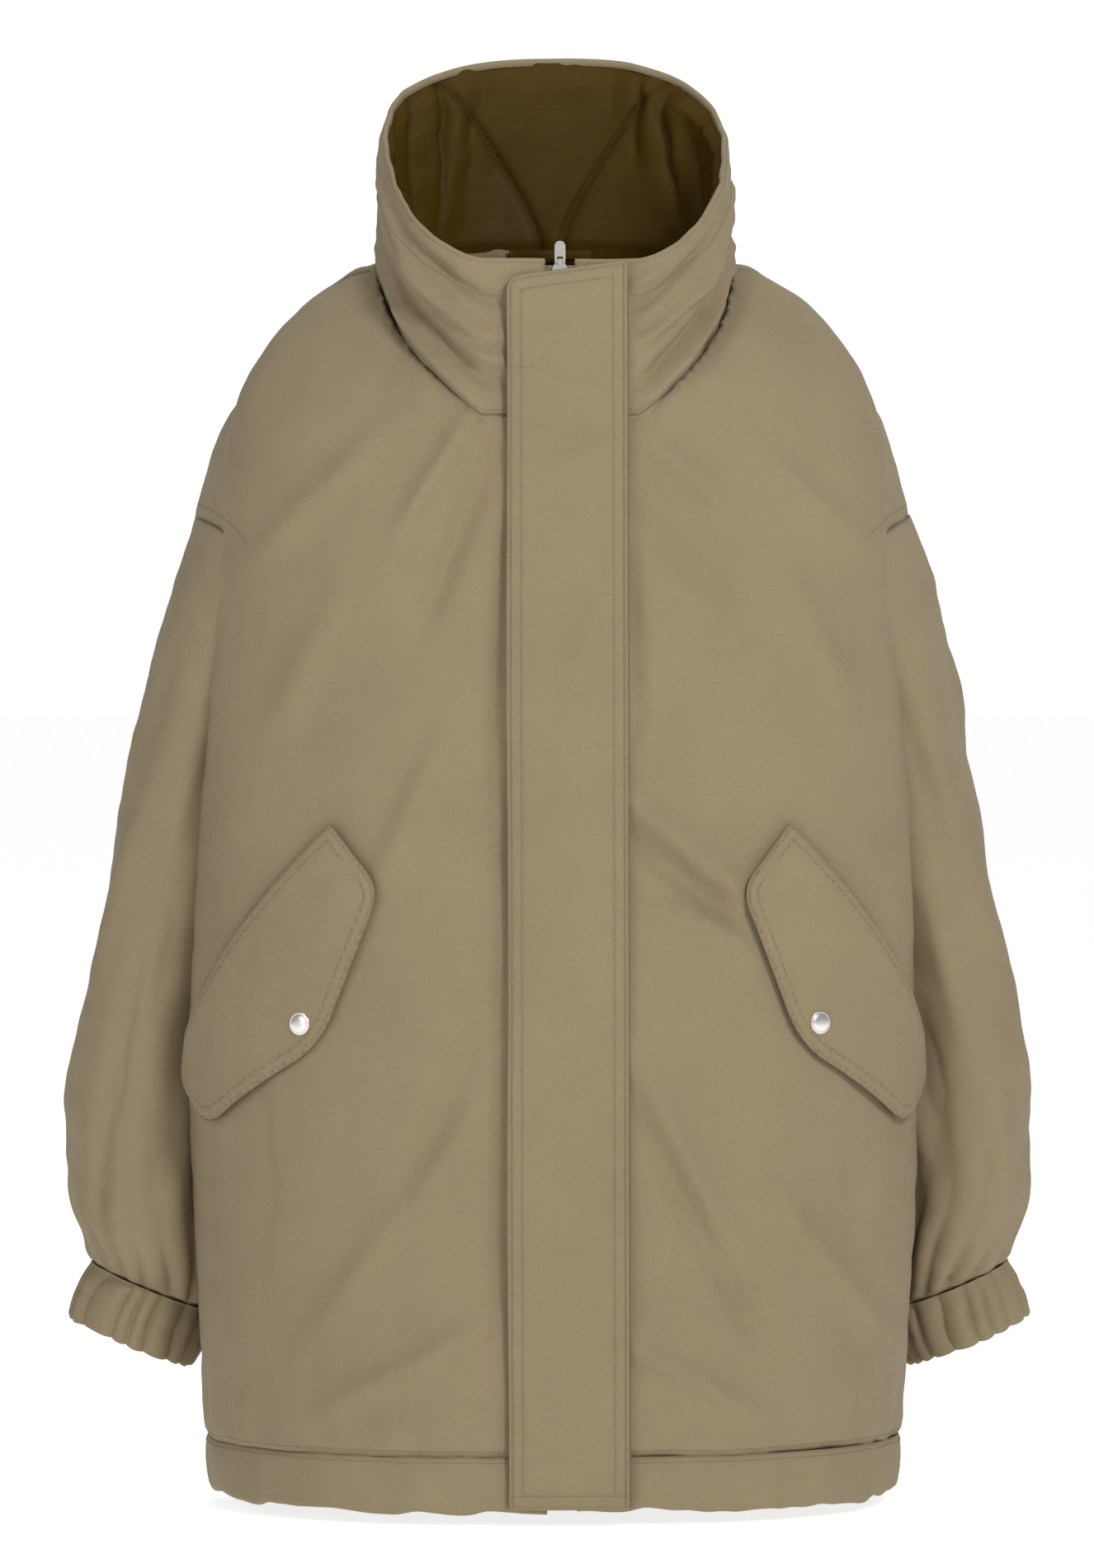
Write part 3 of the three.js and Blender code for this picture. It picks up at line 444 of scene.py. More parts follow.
def seamPlanes():  # the vertical planes of the side and shoulder seams: point, normal (in plan)
    outer = sleeveStops[armholeStop][0] + sleeveStops[armholeStop][3]
    inner = neck["half"] + 10
    planes = [((0, body["seamSide"]), (0, 1))]
    for side in (-1, 1):
        run = np.array([side * (outer - inner), body["seamSide"] - body["seamNeck"]], float)
        normal = np.array([-run[1], run[0]]) * side / np.linalg.norm(run)
        planes.append(((side * inner, body["seamNeck"]), tuple(normal)))
    return planes


def behindSeams(p):  # how far a point lies behind the side and shoulder seams, in millimetres
    outer = sleeveStops[armholeStop][0] + sleeveStops[armholeStop][3]
    inner = neck["half"] + 10
    seam = np.interp(np.abs(p[:, 0]), [inner, outer], [body["seamNeck"], body["seamSide"]])
    return p[:, 1] - seam


def cutTorso(obj, isLining=False):
    with editing(obj) as mesh:

        def bisect(point, normal, **clear):
            geometry = mesh.verts[:] + mesh.edges[:] + mesh.faces[:]
            bmesh.ops.bisect_plane(mesh, geom=geometry, plane_co=Vector(toRow(point)),
                                   plane_no=Vector(normal),
                                   dist=1e-5, **clear)

        bisect((0, 0, body["hemBand"]), (0, 0, -1), clear_outer=True)
        for side in (-1, 1):
            bisect((side * body["zipGap"], 0, 0), (1, 0, 0))
        for point, normal in seamPlanes():
            bisect((point[0], point[1], 0), (normal[0], normal[1], 0))
        mid = fromRow(np.array([f.calc_center_median()[:] for f in mesh.faces]))
        normals = np.array([f.normal[:] for f in mesh.faces])
        gone = (mid[:, 2] > neck["front"] - 30) & insideRing(mid, neckLoop(), 0.88 if isLining else 0.985)
        gone |= (np.abs(mid[:, 0]) < body["zipGap"]) & (mid[:, 1] < 0)
        for side in (-1, 1):
            centre, down, _, _, _, _ = sleeveAt(np.array(float(armholeStop)))
            mirror = np.array([-side, 1, 1])
            beyond = (mid - centre * mirror) @ (down * mirror)
            gone |= (beyond > 8) & (beyond < 20) & (normals @ (down * mirror) > 0.6) & (np.abs(mid[:,
                    0]) > 150)
        bmesh.ops.delete(mesh, geom=[f for f, g in zip(mesh.faces[:], gone) if g], context="FACES")
        bmesh.ops.delete(mesh, geom=[v for v in mesh.verts if not v.link_faces], context="VERTS")
        loop = neckLoop()
        dense = np.concatenate([loop + (np.roll(loop, -1, 0) - loop) * u for u in (0, .2, .4, .6, .8)])
        tree = KDTree(len(dense))
        for i, q in enumerate(toRow(dense)):
            tree.insert(q, i)
        tree.balance()
        for v in mesh.verts:
            if v.is_boundary and not isLining and fromRow(v.co)[2] > neck["front"] - 20:
                near, _, gap = tree.find(v.co)
                if gap < 0.014:
                    v.co = near
    return obj


def splitPanels(obj, names, choose):  # one object for each panel, faces chosen by their middles
    mid = fromRow(np.array([p.center[:] for p in obj.data.polygons]))
    label = choose(mid)
    out = []
    for k, name in enumerate(names):
        copy = obj.copy()
        copy.data = obj.data.copy()
        copy.name = copy.data.name = name
        scene.collection.objects.link(copy)
        with editing(copy) as mesh:
            mesh.faces.ensure_lookup_table()
            bmesh.ops.delete(mesh, geom=[f for f, g in zip(mesh.faces[:], label) if g != k], context="FACES")
        out.append(copy)
    bpy.data.objects.remove(obj)
    return out


def torsoShape(obj):  # padding, puckers and drag folds, as moves along the normals
    t = torso
    p, n = fromRow(getPoints(obj)), getNormals(obj)
    move = t["swell"] * waves(p, 260, 3) + t["crumple"] * waves(p, 70, 5)
    z = p[:, 2] - body["hemBand"]
    along = np.arctan2(p[:, 1], p[:, 0]) * 240
    puckers = np.sin(along / t["puckerSpacing"] * 2 * math.pi + 3 * waves(p, 130, 8))
    puckers *= 0.55 + 0.45 * waves(p, 90, 9)
    move += t["hemPuff"] * (1 - np.exp(-z / 7)) * np.exp(-z / 60) - t["seamPinch"] * np.exp(-z / 5)
    move += t["hemPuckers"] * puckers * np.exp(-z / 30) * (1 - np.exp(-(z + 2) / 6))
    seams = np.abs(behindSeams(p))
    move -= t["seamPinch"] * np.exp(-(seams / 4.5) ** 2)
    isFront = (n[:, 1] < 0.15) & (behindSeams(p) < 0)
    for folds, where in ((frontFolds, isFront), (backFolds, ~isFront)):
        total = np.zeros(len(p))
        for start, end, width, depth in folds:
            total += fold(p, start, end, width * 0.66, depth)
        move += total * where * t["foldGain"]
    near = smooth(108, 124, np.abs(p[:, 0])) * smooth(238, 262,
            p[:, 2]) * (1 - smooth(458, 480, p[:, 2])) * (n[:, 1] < 0.3)
    # room under the pocket flaps
    move = np.where(near > 0, np.minimum(move, 1.2 * near + 9 * (1 - near)), move)
    bag = smooth(100, 120, np.abs(p[:, 0])) * smooth(165, 195,
            p[:, 2]) * (1 - smooth(462, 490, p[:, 2])) * (p[:, 1] < 20)
    move = np.where(bag > 0, np.maximum(move, -0.9 * bag - 9 * (1 - bag)), move)  # and over the bags
    loop = neckLoop()
    tree = KDTree(len(loop))
    for i, q in enumerate(loop):
        tree.insert(q, i)
    tree.balance()
    nearNeck = np.array([tree.find(q)[2] if q[2] > 680 else 99 for q in p])
    move -= t["seamPinch"] * np.exp(-(nearNeck / 5) ** 2) - 1.6 * np.exp(-((nearNeck - 16) / 10) ** 2)
    move += 0.9 * np.exp(-nearNeck / 26) * np.sin(np.arctan2(p[:, 1], p[:, 0]) * 21 + 2 * waves(p, 120, 12))
    move *= 0.08 + 0.92 * smooth(0, 15, nearNeck)  # the neck edge stays on its seam
    setPoints(obj, toRow(p + n * move[:, None]))
    setAttribute(obj, "seam", np.minimum(seams, nearNeck))
    return obj


shellSolid = torsoShape(cutTorso(clothSolid("shell", torso["voxel"])))
panelLabel = lambda p: np.where(behindSeams(p) > 0, 2, np.where(p[:, 0] > 0, 1, 0))
rightFront, leftFront, back = splitPanels(shellSolid, ["rightFront", "leftFront", "back"], panelLabel)
print("body panels", [len(o.data.polygons) for o in (rightFront, leftFront, back)])

liningSolid = cutTorso(clothSolid("lining", torso["liningVoxel"], torso["liningDepth"]), True)

# hem band, sleeves and cuffs
hem = {"bulge": 0.9, "depth": 9.5, "puckers": 2.2, "spacing": 58, "edgeWave": 3.0}
sleeve = {
    "wall": 1.6, "gathers": 17, "gatherDepth": 6.2, "gatherReach": 38, "longFold": 4.6, "foldGain": 2.3,
    "crumple": 1.2, "seamPinch": 1.8, "liningRoom": 4.5, "columns": 144, "rows": 170,
}
cuff = {"length": 41, "wall": 2.6, "pleats": 17, "pleatDepth": 6.4, "flare": 1.5, "edgeWave": 1.4, "rows": 22}
sleeveFolds = [  # along the sleeve in millimetres above the cuff seam, angle in degrees, length, width, depth
    (110, 20, 120, 14, 2.8), (150, 75, 150, 12, -2.6), (260, 50, 190, 14, 2.4), (330, 110, 170, 13, -2.2),
    (90, 130, 90, 12, 2.4), (190, 160, 160, 14, 2.2), (400, 30, 160, 15, 2.2), (120, 250, 140, 14, 2.6),
    (280, 220, 200, 16, -2.4), (420, 190, 160, 14, 2.2), (70, 310, 80, 12, 2.4), (350, 300, 200, 15, 2.2),
    (60, 60, 70, 11, -2.4), (200, 345, 150, 13, -2.2), (230, 95, 120, 10, 1.8),
]


def openLoop(place, steps):  # the same section path, from one front edge round to the other
    half = place(np.concatenate([np.linspace(0, 90, steps + 1), np.linspace(0, 90, steps + 1)[1:]]),
                 np.concatenate([np.zeros(steps + 1, bool), np.ones(steps, bool)]))
    strip = np.linspace(body["zipGap"], body["frontFlat"], 10)[:-1, None]
    edge = half[0] * [0, 1, 1] + strip * [1, 0, 0]
    right = np.concatenate([edge, half])
    backRow = right[-1] * [0, 1, 1] + right[-1] * [1, 0, 0] * np.linspace(1, -1, 13)[1:-1, None]
    return np.concatenate([right, backRow, right[::-1] * [-1, 1, 1]])


def resample(path, spacing):  # evenly spaced points along a line
    step = np.linalg.norm(np.diff(path, axis=0), axis=1)
    along = np.concatenate([[0], np.cumsum(step)])
    at = np.linspace(0, along[-1], max(3, int(round(along[-1] / spacing)) + 1))
    return np.stack([np.interp(at, along, path[:, k]) for k in range(path.shape[1])], -1)


def outwards(path, closed=False):  # level normals of a path that runs round the body
    if closed:
        run = np.roll(path, -1, 0) - np.roll(path, 1, 0)
    else:
        run = np.gradient(path, axis=0)
    normal = np.stack([run[:, 1], -run[:, 0], 0 * run[:, 0]], -1)
    return normal / np.linalg.norm(normal, axis=1, keepdims=True)


def hemBandMesh():
    h, top = hem, body["hemBand"]
    base = openLoop(lambda t, k: bodyPoint(t, k, np.zeros(t.shape)), 60)
    ring = resample(base, 4)
    upper = resample(openLoop(lambda t, k: bodyPoint(t, k, np.full(t.shape, float(top))), 60), 4)
    index = np.linspace(0, len(upper) - 1, len(ring))
    upper = np.stack([np.interp(index, np.arange(len(upper)), upper[:, k]) for k in range(3)], -1)
    normal = outwards(ring)
    along = np.arange(len(ring)) * 4.0
    wobble = waves(ring * [1, 1, 0], 90, 21)
    pucker = np.sin(along / h["spacing"] * 2 * math.pi + 3.4 * wobble) * (0.55 + 0.45 * waves(ring, 70, 22))
    profileRow = [(h["depth"], top), (h["depth"], 26), (h["depth"], 12), (h["depth"] - 0.8, 4),
                  (h["depth"] - 3, 1)]
    profileRow += [(4.6, 0), (2.4, 0.4), (0.9, 1.8), (0.1, 4)]
    profileRow += [(-h["bulge"] * math.sin(math.pi * (z - 4) / (top - 4)), z) for z in np.linspace(7,
            top - 4, 9)]
    profileRow += [(0.2, top - 1.6), (1.0, top + 0.2)]
    rows = []
    for depth, z in profileRow:
        share = z / top
        p = ring * (1 - share) + upper * share
        p[:, 2] = z
        outer = max(0.0, 1 - depth / 5)
        lift = h["puckers"] * pucker * (0.35 + 0.65 * math.sin(math.pi * min(share, 1))) * min(outer, 1)
        p = p + normal * (-depth + lift)[:, None]
        p[:, 2] += h["edgeWave"] * (wobble + 0.6 * pucker) * (1 - share) ** 2
        rows.append(p)
    obj = gridObject("hemBand", np.array(rows), flip=True)
    with editing(obj) as mesh:
        boundary = [e for e in mesh.edges if e.is_boundary]
        count = len(rows[0])
        for end in (0, count - 1):  # close both ends at the zip
            ids = {r * count + end for r in range(len(rows))}
            ring3 = [e for e in boundary if e.verts[0].index in ids and e.verts[1].index in ids]
            bmesh.ops.contextual_create(mesh, geom=list({v for e in ring3 for v in e.verts}))
        bmesh.ops.recalc_face_normals(mesh, faces=mesh.faces)
    p = fromRow(getPoints(obj))
    setAttribute(obj, "seam", np.minimum(np.abs(p[:, 2] - top) + 0.4, np.abs(behindSeams(p)) + 0.2))
    return obj


def sleeveMesh(side, name):
    s = sleeve
    u = np.linspace(armholeStop, len(sleeveStops) - 1, s["rows"])
    angle = np.linspace(0, 2 * math.pi, s["columns"], endpoint=False)
    rings = sleeveRing(u, angle, side)
    centre = rings.mean(1)
    step = np.linalg.norm(np.diff(centre, axis=0), axis=1)
    above = np.concatenate([[0], np.cumsum(step)])
    above = (above[-1] - above)[:, None]  # distance above the cuff seam
    obj = gridObject(name, rings, closed=True, flip=side > 0)
    p = fromRow(getPoints(obj)).reshape(rings.shape)
    n = getNormals(obj).reshape(rings.shape)
    if np.sum((p - centre[:, None]) * n) < 0:
        obj.data.flip_normals()
        n = -n
    flat = p.reshape(-1, 3)
    ang = angle[None] + 0 * above
    wobble = waves(flat, 150, 31 + side).reshape(ang.shape)
    small = waves(flat, 60, 33 + side).reshape(ang.shape)
    ridge = np.abs(np.sin(ang * s["gathers"] / 2 + 1.6 * wobble + 0.004 * above)) ** 0.7 * 2 - 1.1
    fade = np.exp(-above / s["gatherReach"])
    move = s["gatherDepth"] * ridge * fade * (0.7 + 0.3 * small) * smooth(-3, 9, above)
    move += 4.5 * bump(above, 36, 30) + 2.0 * smooth(40, 160, above)
    move += s["longFold"] * np.sin(2 * ang + 2.2 * wobble + above / 170) * smooth(0, 120, above) * 0.6
    move += s["crumple"] * small * 1.3 + 1.2 * wobble
    top = above.max() - above
    move -= s["seamPinch"] * np.exp(-top / 5)
    move *= np.where(top < 40, 0.35 + 0.65 * top / 40, 1)
    for height, degrees, length, width, depth in sleeveFolds:
        a = math.radians(degrees if side < 0 else 200 - degrees)
        slant = 0.0022 * (above - height)
        around = (ang - a - slant + math.pi) % (2 * math.pi) - math.pi
        reach = np.exp(-((above - height) / (length / 2)) ** 2)
        move += s["foldGain"] * depth * np.exp(-(around * 64 / width) ** 2) * reach
    move = np.maximum(np.where(above < 2, 0, move), -s["liningRoom"])  # clear of the lining inside
    setPoints(obj, toRow((p + n * move[..., None]).reshape(-1, 3)))
    setAttribute(obj, "seam", np.minimum(top + 0.3, above + 0.3 + 0 * ang).ravel())
    return obj, (p + n * move[..., None])


def cuffMesh(side, name):
    c = cuff
    angle = np.linspace(0, 2 * math.pi, 300, endpoint=False)
    last = len(sleeveStops) - 1.0
    centre, down, front, out, a, b = sleeveAt(np.array(last))
    mirror = np.array([-side, 1, 1])
    rng = np.random.default_rng(41 + side)
    jitter = sum(rng.uniform(0.25, 0.6) * np.sin(k * angle + rng.uniform(0, 6.3)) for k in (2, 3, 5))
    rows = []
    outside = [(0.6, -1.5)] + [(v, 0) for v in np.linspace(1, c["length"] - 2, c["rows"])]
    inside = [(c["length"] - 0.4, 0.9), (c["length"], c["wall"] / 2), (c["length"] - 0.6, c["wall"])]
    inside += [(v, c["wall"] + 0.3) for v in np.linspace(c["length"] - 5, 1, 10)]
    for down_, inward in outside + inside:
        share = min(down_ / c["length"], 1)
        lean = 0.5 * math.sin(share * 5 + side) + 0.8 * share * np.sin(3 * angle + side)
        phase = angle * c["pleats"] / 2 + 2.0 * jitter + 0.6 * lean
        ridge = np.abs(np.sin(phase)) ** 0.75
        arch = math.sin(math.pi * min(share, 1)) ** 0.6
        depth = c["pleatDepth"] * (0.45 + 0.55 * arch) * (0.8 + 0.2 * jitter)
        dimple = -1.2 * bump(share, 0.5, 0.10) * (0.6 + 0.4 * np.sin(5 * angle + side))
        swell = c["flare"] * share + 2.2 * math.sin(math.pi * share)
        grow = (ridge - 0.72) * depth + swell + dimple - inward
        ring = centre + out * ((a + grow) * np.cos(angle))[:,
                None] + front * ((b + grow) * np.sin(angle))[:, None]
        reach = down_ + (c["edgeWave"] * (ridge - 0.5) + 0.8 * jitter) * share ** 3
        rows.append((ring + down * np.broadcast_to(reach, angle.shape)[:, None]) * mirror)
    obj = gridObject(name, np.array(rows), closed=True, flip=side > 0)
    with editing(obj) as mesh:
        bmesh.ops.bridge_loops(mesh, edges=[e for e in mesh.edges if e.is_boundary])
        bmesh.ops.recalc_face_normals(mesh, faces=mesh.faces)
    setAttribute(obj, "seam", np.full(len(obj.data.vertices), 30.0))
    return obj


def elasticMesh(side, name):
    angle = np.linspace(0, 2 * math.pi, 96, endpoint=False)
    centre, down, front, out, a, b = sleeveAt(np.array(len(sleeveStops) - 1.0))
    mirror = np.array([-side, 1, 1])
    rows = []
    for reach, inward in ((7, 4.4), (20, 4.2), (34, 4.4), (34, 5.6), (20, 5.4), (7, 5.6)):
        ring = centre + out * ((a - inward) * np.cos(angle))[:,
                None] + front * ((b - inward) * np.sin(angle))[:, None]
        rows.append((ring + down * reach) * mirror)
    rows.append(rows[0])
    obj = gridObject(name, np.array(rows), closed=True)
    with editing(obj) as mesh:
        bmesh.ops.remove_doubles(mesh, verts=mesh.verts, dist=1e-6)
        bmesh.ops.recalc_face_normals(mesh, faces=mesh.faces)
    return obj


hemBand = hemBandMesh()
sleeves, sleeveGrids, sleeveLinings, cuffs, elastics = {}, {}, {}, {}, {}
for sideName, side in (("right", -1), ("left", 1)):
    sleeves[sideName], sleeveGrids[sideName] = sleeveMesh(side, sideName + "Sleeve")
    u = np.linspace(armholeStop + 0.05, len(sleeveStops) - 1.05, 60)
    inner = sleeveRing(u, np.linspace(0, 2 * math.pi, 72, endpoint=False), side, -8)
    sleeveLinings[sideName] = gridObject(sideName + "SleeveLining", inner, closed=True, flip=side > 0)
    cuffs[sideName] = cuffMesh(side, sideName + "Cuff")
    elastics[sideName] = elasticMesh(side, sideName + "CuffElastic")
print("sleeves and cuffs made")

# collar
collar = {
    "rows": 46, "spacing": 4, "wall": 1.6, "rimRound": 2.0, "liningDepth": 8.5, "pinch": 0.9, "puff": 0.6,
    "foldGain": 2.7, "crease": 1.8, "liningCrease": 5.5,
}
# start, end as (x, share of the height), width in mm, depth: drags running in to the storm flap
collarFolds = [
    ((-108, 0.62), (-40, 0.50), 8, 2.8), ((-112, 0.38), (-44, 0.22), 9, -2.6),
    ((-96, 0.86), (-38, 0.72), 7, -2.2), ((-116, 0.18), (-60, 0.06), 8, 2.0),
    ((-118, 0.80), (-84, 0.60), 8, 2.2), ((-60, 0.40), (-36, 0.34), 6, 2.0),
    ((104, 0.58), (50, 0.46), 8, 2.6), ((112, 0.34), (52, 0.20), 9, -2.4),
    ((98, 0.82), (50, 0.70), 7, -2.2), ((118, 0.20), (64, 0.06), 8, 2.0),
    ((118, 0.72), (88, 0.52), 8, 2.2), ((66, 0.90), (48, 0.84), 6, 1.8),
]


def collarRow(t, depth=0.0):
    def place(turn, isBack):
        s = np.sin(np.radians(turn))
        side = np.where(isBack, 1, s ** 2)
        p = neckPoint(turn, isBack) * (1 - t) + rimPoint(turn, isBack) * t
        out = p * [1, 1, 0]
        out /= np.linalg.norm(out, axis=-1, keepdims=True)
        return p + out * (rim["swell"] * 4 * t * (1 - t) * side)[..., None]

    dense = openLoop(place, 90)
    count = 260
    step = np.linalg.norm(np.diff(dense[:, :2], axis=0), axis=1)
    along = np.concatenate([[0], np.cumsum(step)]) / step.sum()
    row = np.stack([np.interp(np.linspace(0, 1, count), along, dense[:, k]) for k in range(3)], -1)
    return row - outwards(row) * depth


def collarFoldAt(x, share, y):
    total = np.zeros(x.shape)
    height = rim["front"] - neck["front"]
    for (x0, s0), (x1, s1), width, depth in collarFolds:
        p = np.stack([x.ravel(), 0 * x.ravel(), share.ravel() * height], -1)
        total += fold(p, (x0, s0 * height), (x1, s1 * height), width * 0.72, depth).reshape(x.shape)
    return total * (y < 0)


def collarMesh():
    c = collar
    shares = np.linspace(0, 1, c["rows"])
    rows = np.array([collarRow(t) for t in shares])
    n = np.array([outwards(r) for r in rows])
    share = shares[:, None] + 0 * rows[..., 0]
    flat = rows.reshape(-1, 3)
    wobble = waves(flat, 120, 51).reshape(share.shape)
    small = waves(flat, 45, 52).reshape(share.shape)
    angle = np.arctan2(rows[..., 1] + 10, rows[..., 0])
    move = c["puff"] * np.sin(np.pi * share) - c["pinch"] * np.exp(-share * 18)
    move = move + 1.5 * wobble + c["crease"] * small
    move += c["foldGain"] * collarFoldAt(rows[..., 0], share, rows[..., 1])
    back = smooth(-20, 40, rows[..., 1])
    ripple = 1.6 * np.sin(angle * 9 + 2 * wobble) * np.sin(np.pi * share)
    move += back * (ripple + 0.5 * np.sin(share * 9 + 3 * wobble))
    rimRoll = smooth(0.93, 1, share)
    move -= rimRoll * c["rimRound"] * 0.7
    outer = rows + n * move[..., None]
    outer[..., 2] += 1.6 * wobble * smooth(0.5, 1, share)
    top = outer[-1]
    turnIn = [top - n[-1] * 0.8 + [0, 0, 0.9], top - n[-1] * 2.0 + [0, 0, 1.0],
              top - n[-1] * 3.0 + [0, 0, 0.0],
              top - n[-1] * 3.6 + [0, 0, -4.0]]
    # the seam allowance, under the body
    tuck = [outer[0] - n[0] * 2.6 + [0, 0, -17.0], outer[0] - n[0] * 1.0 + [0, 0, -6.0]]
    obj = gridObject("collarShell", np.concatenate([np.array(tuck), outer, np.array(turnIn)]))
    count = rows.shape[1]
    seam = np.concatenate([np.full(2 * count, 30.0), (share * 110).ravel(), np.full(4 * count, 30.0)])
    setAttribute(obj, "seam", seam)
    return obj, outer, n


def collarLiningMesh():
    c = collar
    shares = np.linspace(1, -0.32, 60)
    grid = []
    for s in shares:
        base = collarRow(float(np.clip(s, 0, 1)))
        level = outwards(base)
        if s < 0:
            base = base + [0, 0, 1] * np.array(s * 110.0)
            base = base + level * (-s * 34 * smooth(-30, 15,
                    base[:, 1]) + s * 14 * (1 - smooth(-30, 15, base[:, 1])))[:, None]
        rimShare = smooth(0.86, 1, s)
        depth = 3.4 + (c["liningDepth"] - 3.4) * (1 - rimShare)
        ang = np.arctan2(base[:, 1] + 10, base[:, 0])
        wobble = waves(base, 110, 61)
        backness = smooth(-60, 50, base[:, 1])
        ripple = np.abs(np.sin(ang * 12 + 2.4 * wobble + 1.6 * s)) ** 0.6 * 2 - 1.2
        sides = 0.12 + 0.88 * np.exp(-((np.abs(base[:, 0]) - 84) / 26) ** 2)
        notFront = smooth(-80, 0, base[:, 1])
        crease = c["liningCrease"] * ripple * np.exp(-((s - 0.75) / 0.5) ** 2) * sides * notFront
        soft = 2.4 * np.sin(ang * 4.3 + 3 * s + wobble) * (1 - rimShare) * backness
        v = np.abs(base[:, 0]) - (8 + 78 * np.clip(s, 0.0, 1.2) ** 1.3)  # the two curved seams
        seamDip = 1.6 * np.exp(-(v / 4.5) ** 2) * (base[:, 1] > 20)
        move = -depth + -crease * (1 - rimShare) + soft - 1.0 * (1 - rimShare)
        move = move + 0.11 * np.sin(s * 80 + 4 * wobble) * (1 - rimShare)
        p = base + level * (move + seamDip * 0.9)[:, None]
        if s >= 0:
            p[:, 2] += (0 if s < 0.98 else -1.0)
        grid.append((p, v, base[:, 1]))
    obj = gridObject("collarLining", np.array([g[0] for g in grid]), flip=False)
    seam = np.concatenate([np.where(g[2] > 20, np.abs(g[1]), 40) for g in grid])
    setAttribute(obj, "seam", seam)
    return obj


collarShell, collarOuter, collarNormals = collarMesh()
collarLining = collarLiningMesh()

# storm flap, in the plane of the front
flap = {"free": -36, "seam": 44.5, "bottom": 3, "topFree": 822, "topSeam": 833, "standOff": 3.6, "ply": 1.8,
        "gap": 0.3, "corner": 9, "edge": 1.5, "puff": 0.5, "stitchPinch": 0.35}
flapFolds = [  # start, end (x, z), width, depth
    ((-30, 759), (38, 742), 5, 1.1), ((-32, 732), (30, 716), 6, -1.1), ((-28, 776), (26, 790), 6, 0.9),
    ((-30, 694), (36, 706), 5, 0.9), ((-34, 508), (2, 494), 5, 0.8), ((40, 420), (-6, 436), 5, -0.8),
    ((-36, 648), (30, 612), 9, 1.3), ((-34, 700), (20, 668), 10, -1.2), ((44, 716), (-10, 690), 9, 1.1),
    ((-30, 580), (40, 560), 10, -0.9), ((44, 480), (-20, 452), 12, 0.9), ((-36, 330), (36, 352), 14, 0.8),
    ((40, 180), (-24, 150), 12, 0.9), ((-34, 90), (30, 108), 12, -0.8), ((40, 640), (10, 560), 8, 0.9),
]


def flapTop(x):
    top = np.interp(x, [flap["free"], flap["seam"]], [flap["topFree"], flap["topSeam"]])
    r = flap["corner"]
    near = np.clip((flap["free"] + r - x) / r, 0, 1)
    return top - r * (1 - np.sqrt(1 - near ** 2))


def flapMesh(name, near, outerFace):
    f = flap
    across = np.concatenate([[0, 0.006, 0.018, 0.036], np.linspace(0.06, 0.94, 27), [0.964, 0.982, 0.994, 1]])
    up = np.concatenate([[0, 0.0008, 0.0022], np.linspace(0.005, 0.992, 260), [0.9955, 0.998, 0.9993, 1]])
    X = f["free"] + (f["seam"] - f["free"]) * across[None] + 0 * up[:, None]
    Z = f["bottom"] + (flapTop(X) - f["bottom"]) * up[:, None]
    edge = np.minimum(np.minimum(X - f["free"], f["seam"] - X), np.minimum(Z - f["bottom"], flapTop(X) - Z))
    p = np.stack([X, 0 * X, Z], -1)
    flatP = p.reshape(-1, 3)
    lift = 0.35 * waves(flatP, 210, 71).reshape(X.shape) + 0.25 * waves(flatP, 60, 72).reshape(X.shape)
    lift += f["puff"] * smooth(2, 9, edge) - f["stitchPinch"] * (bump(edge, 2.2, 0.9) + bump(edge, 9.2, 1.1))
    for start, end, width, depth in flapFolds:
        lift += 2.4 * fold(flatP, start, end, width, depth).reshape(X.shape)
    round_ = f["ply"] * 0.5 * (1 - np.sqrt(np.clip(1 - (1 - np.clip(edge / f["edge"], 0, 1)) ** 2, 0, 1)))
    sway = 0.5 * np.sin(Z / 57 + 1.1) * (1 - across[None])
    front = np.stack([X + sway, near - lift * (1 if outerFace else 0.4) + round_, Z], -1)
    rear = np.stack([X + sway, near + f["ply"] - 0.15 - round_ - lift * 0.3 * (0 if outerFace else 1), Z], -1)
    rows, columns = X.shape
    pts = np.concatenate([front.reshape(-1, 3), rear.reshape(-1, 3)])
    faces = gridFaces(rows, columns)
    off = rows * columns
    faces += [tuple(i + off for i in q[::-1]) for q in gridFaces(rows, columns)]
    rim_ = [r * columns for r in range(rows - 1, -1, -1)] + list(range(1, columns))
    rim_ += [r * columns + columns - 1 for r in range(1, rows)]
    rim_ += [(rows - 1) * columns + c for c in range(columns - 2, 0, -1)]
    for a, b in zip(rim_, rim_[1:] + rim_[:1]):
        faces.append((b, a, a + off, b + off))
    obj = newObject(name, toRow(frontPlane(*pts.T)), faces)
    e = np.concatenate([edge.ravel(), edge.ravel()])
    setAttribute(obj, "seam", np.minimum(np.abs(e - 2.4), np.abs(e - 9.4)))
    return obj


facingNear = -flap["standOff"] - flap["ply"]
outerNear = facingNear - flap["gap"] - flap["ply"]
flapOuter = flapMesh("stormFlapOuter", outerNear, True)
flapFacing = flapMesh("stormFlapFacing", facingNear, False)

# pocket flaps: turn and height of their corners on the front
pocket = {
    "hinge": [(32, 458), (80, 312)], "free": [(20.5, 414), (33, 309), (66, 251), (84, 278)],
    "standOff": 3.8, "ply": 3.4, "corner": 0.2, "edge": 1.7, "puff": 0.8, "stitchPinch": 0.5,
    "snap": (37.5, 324), "bagDepth": 2.9, "bagWall": 0.9,
}


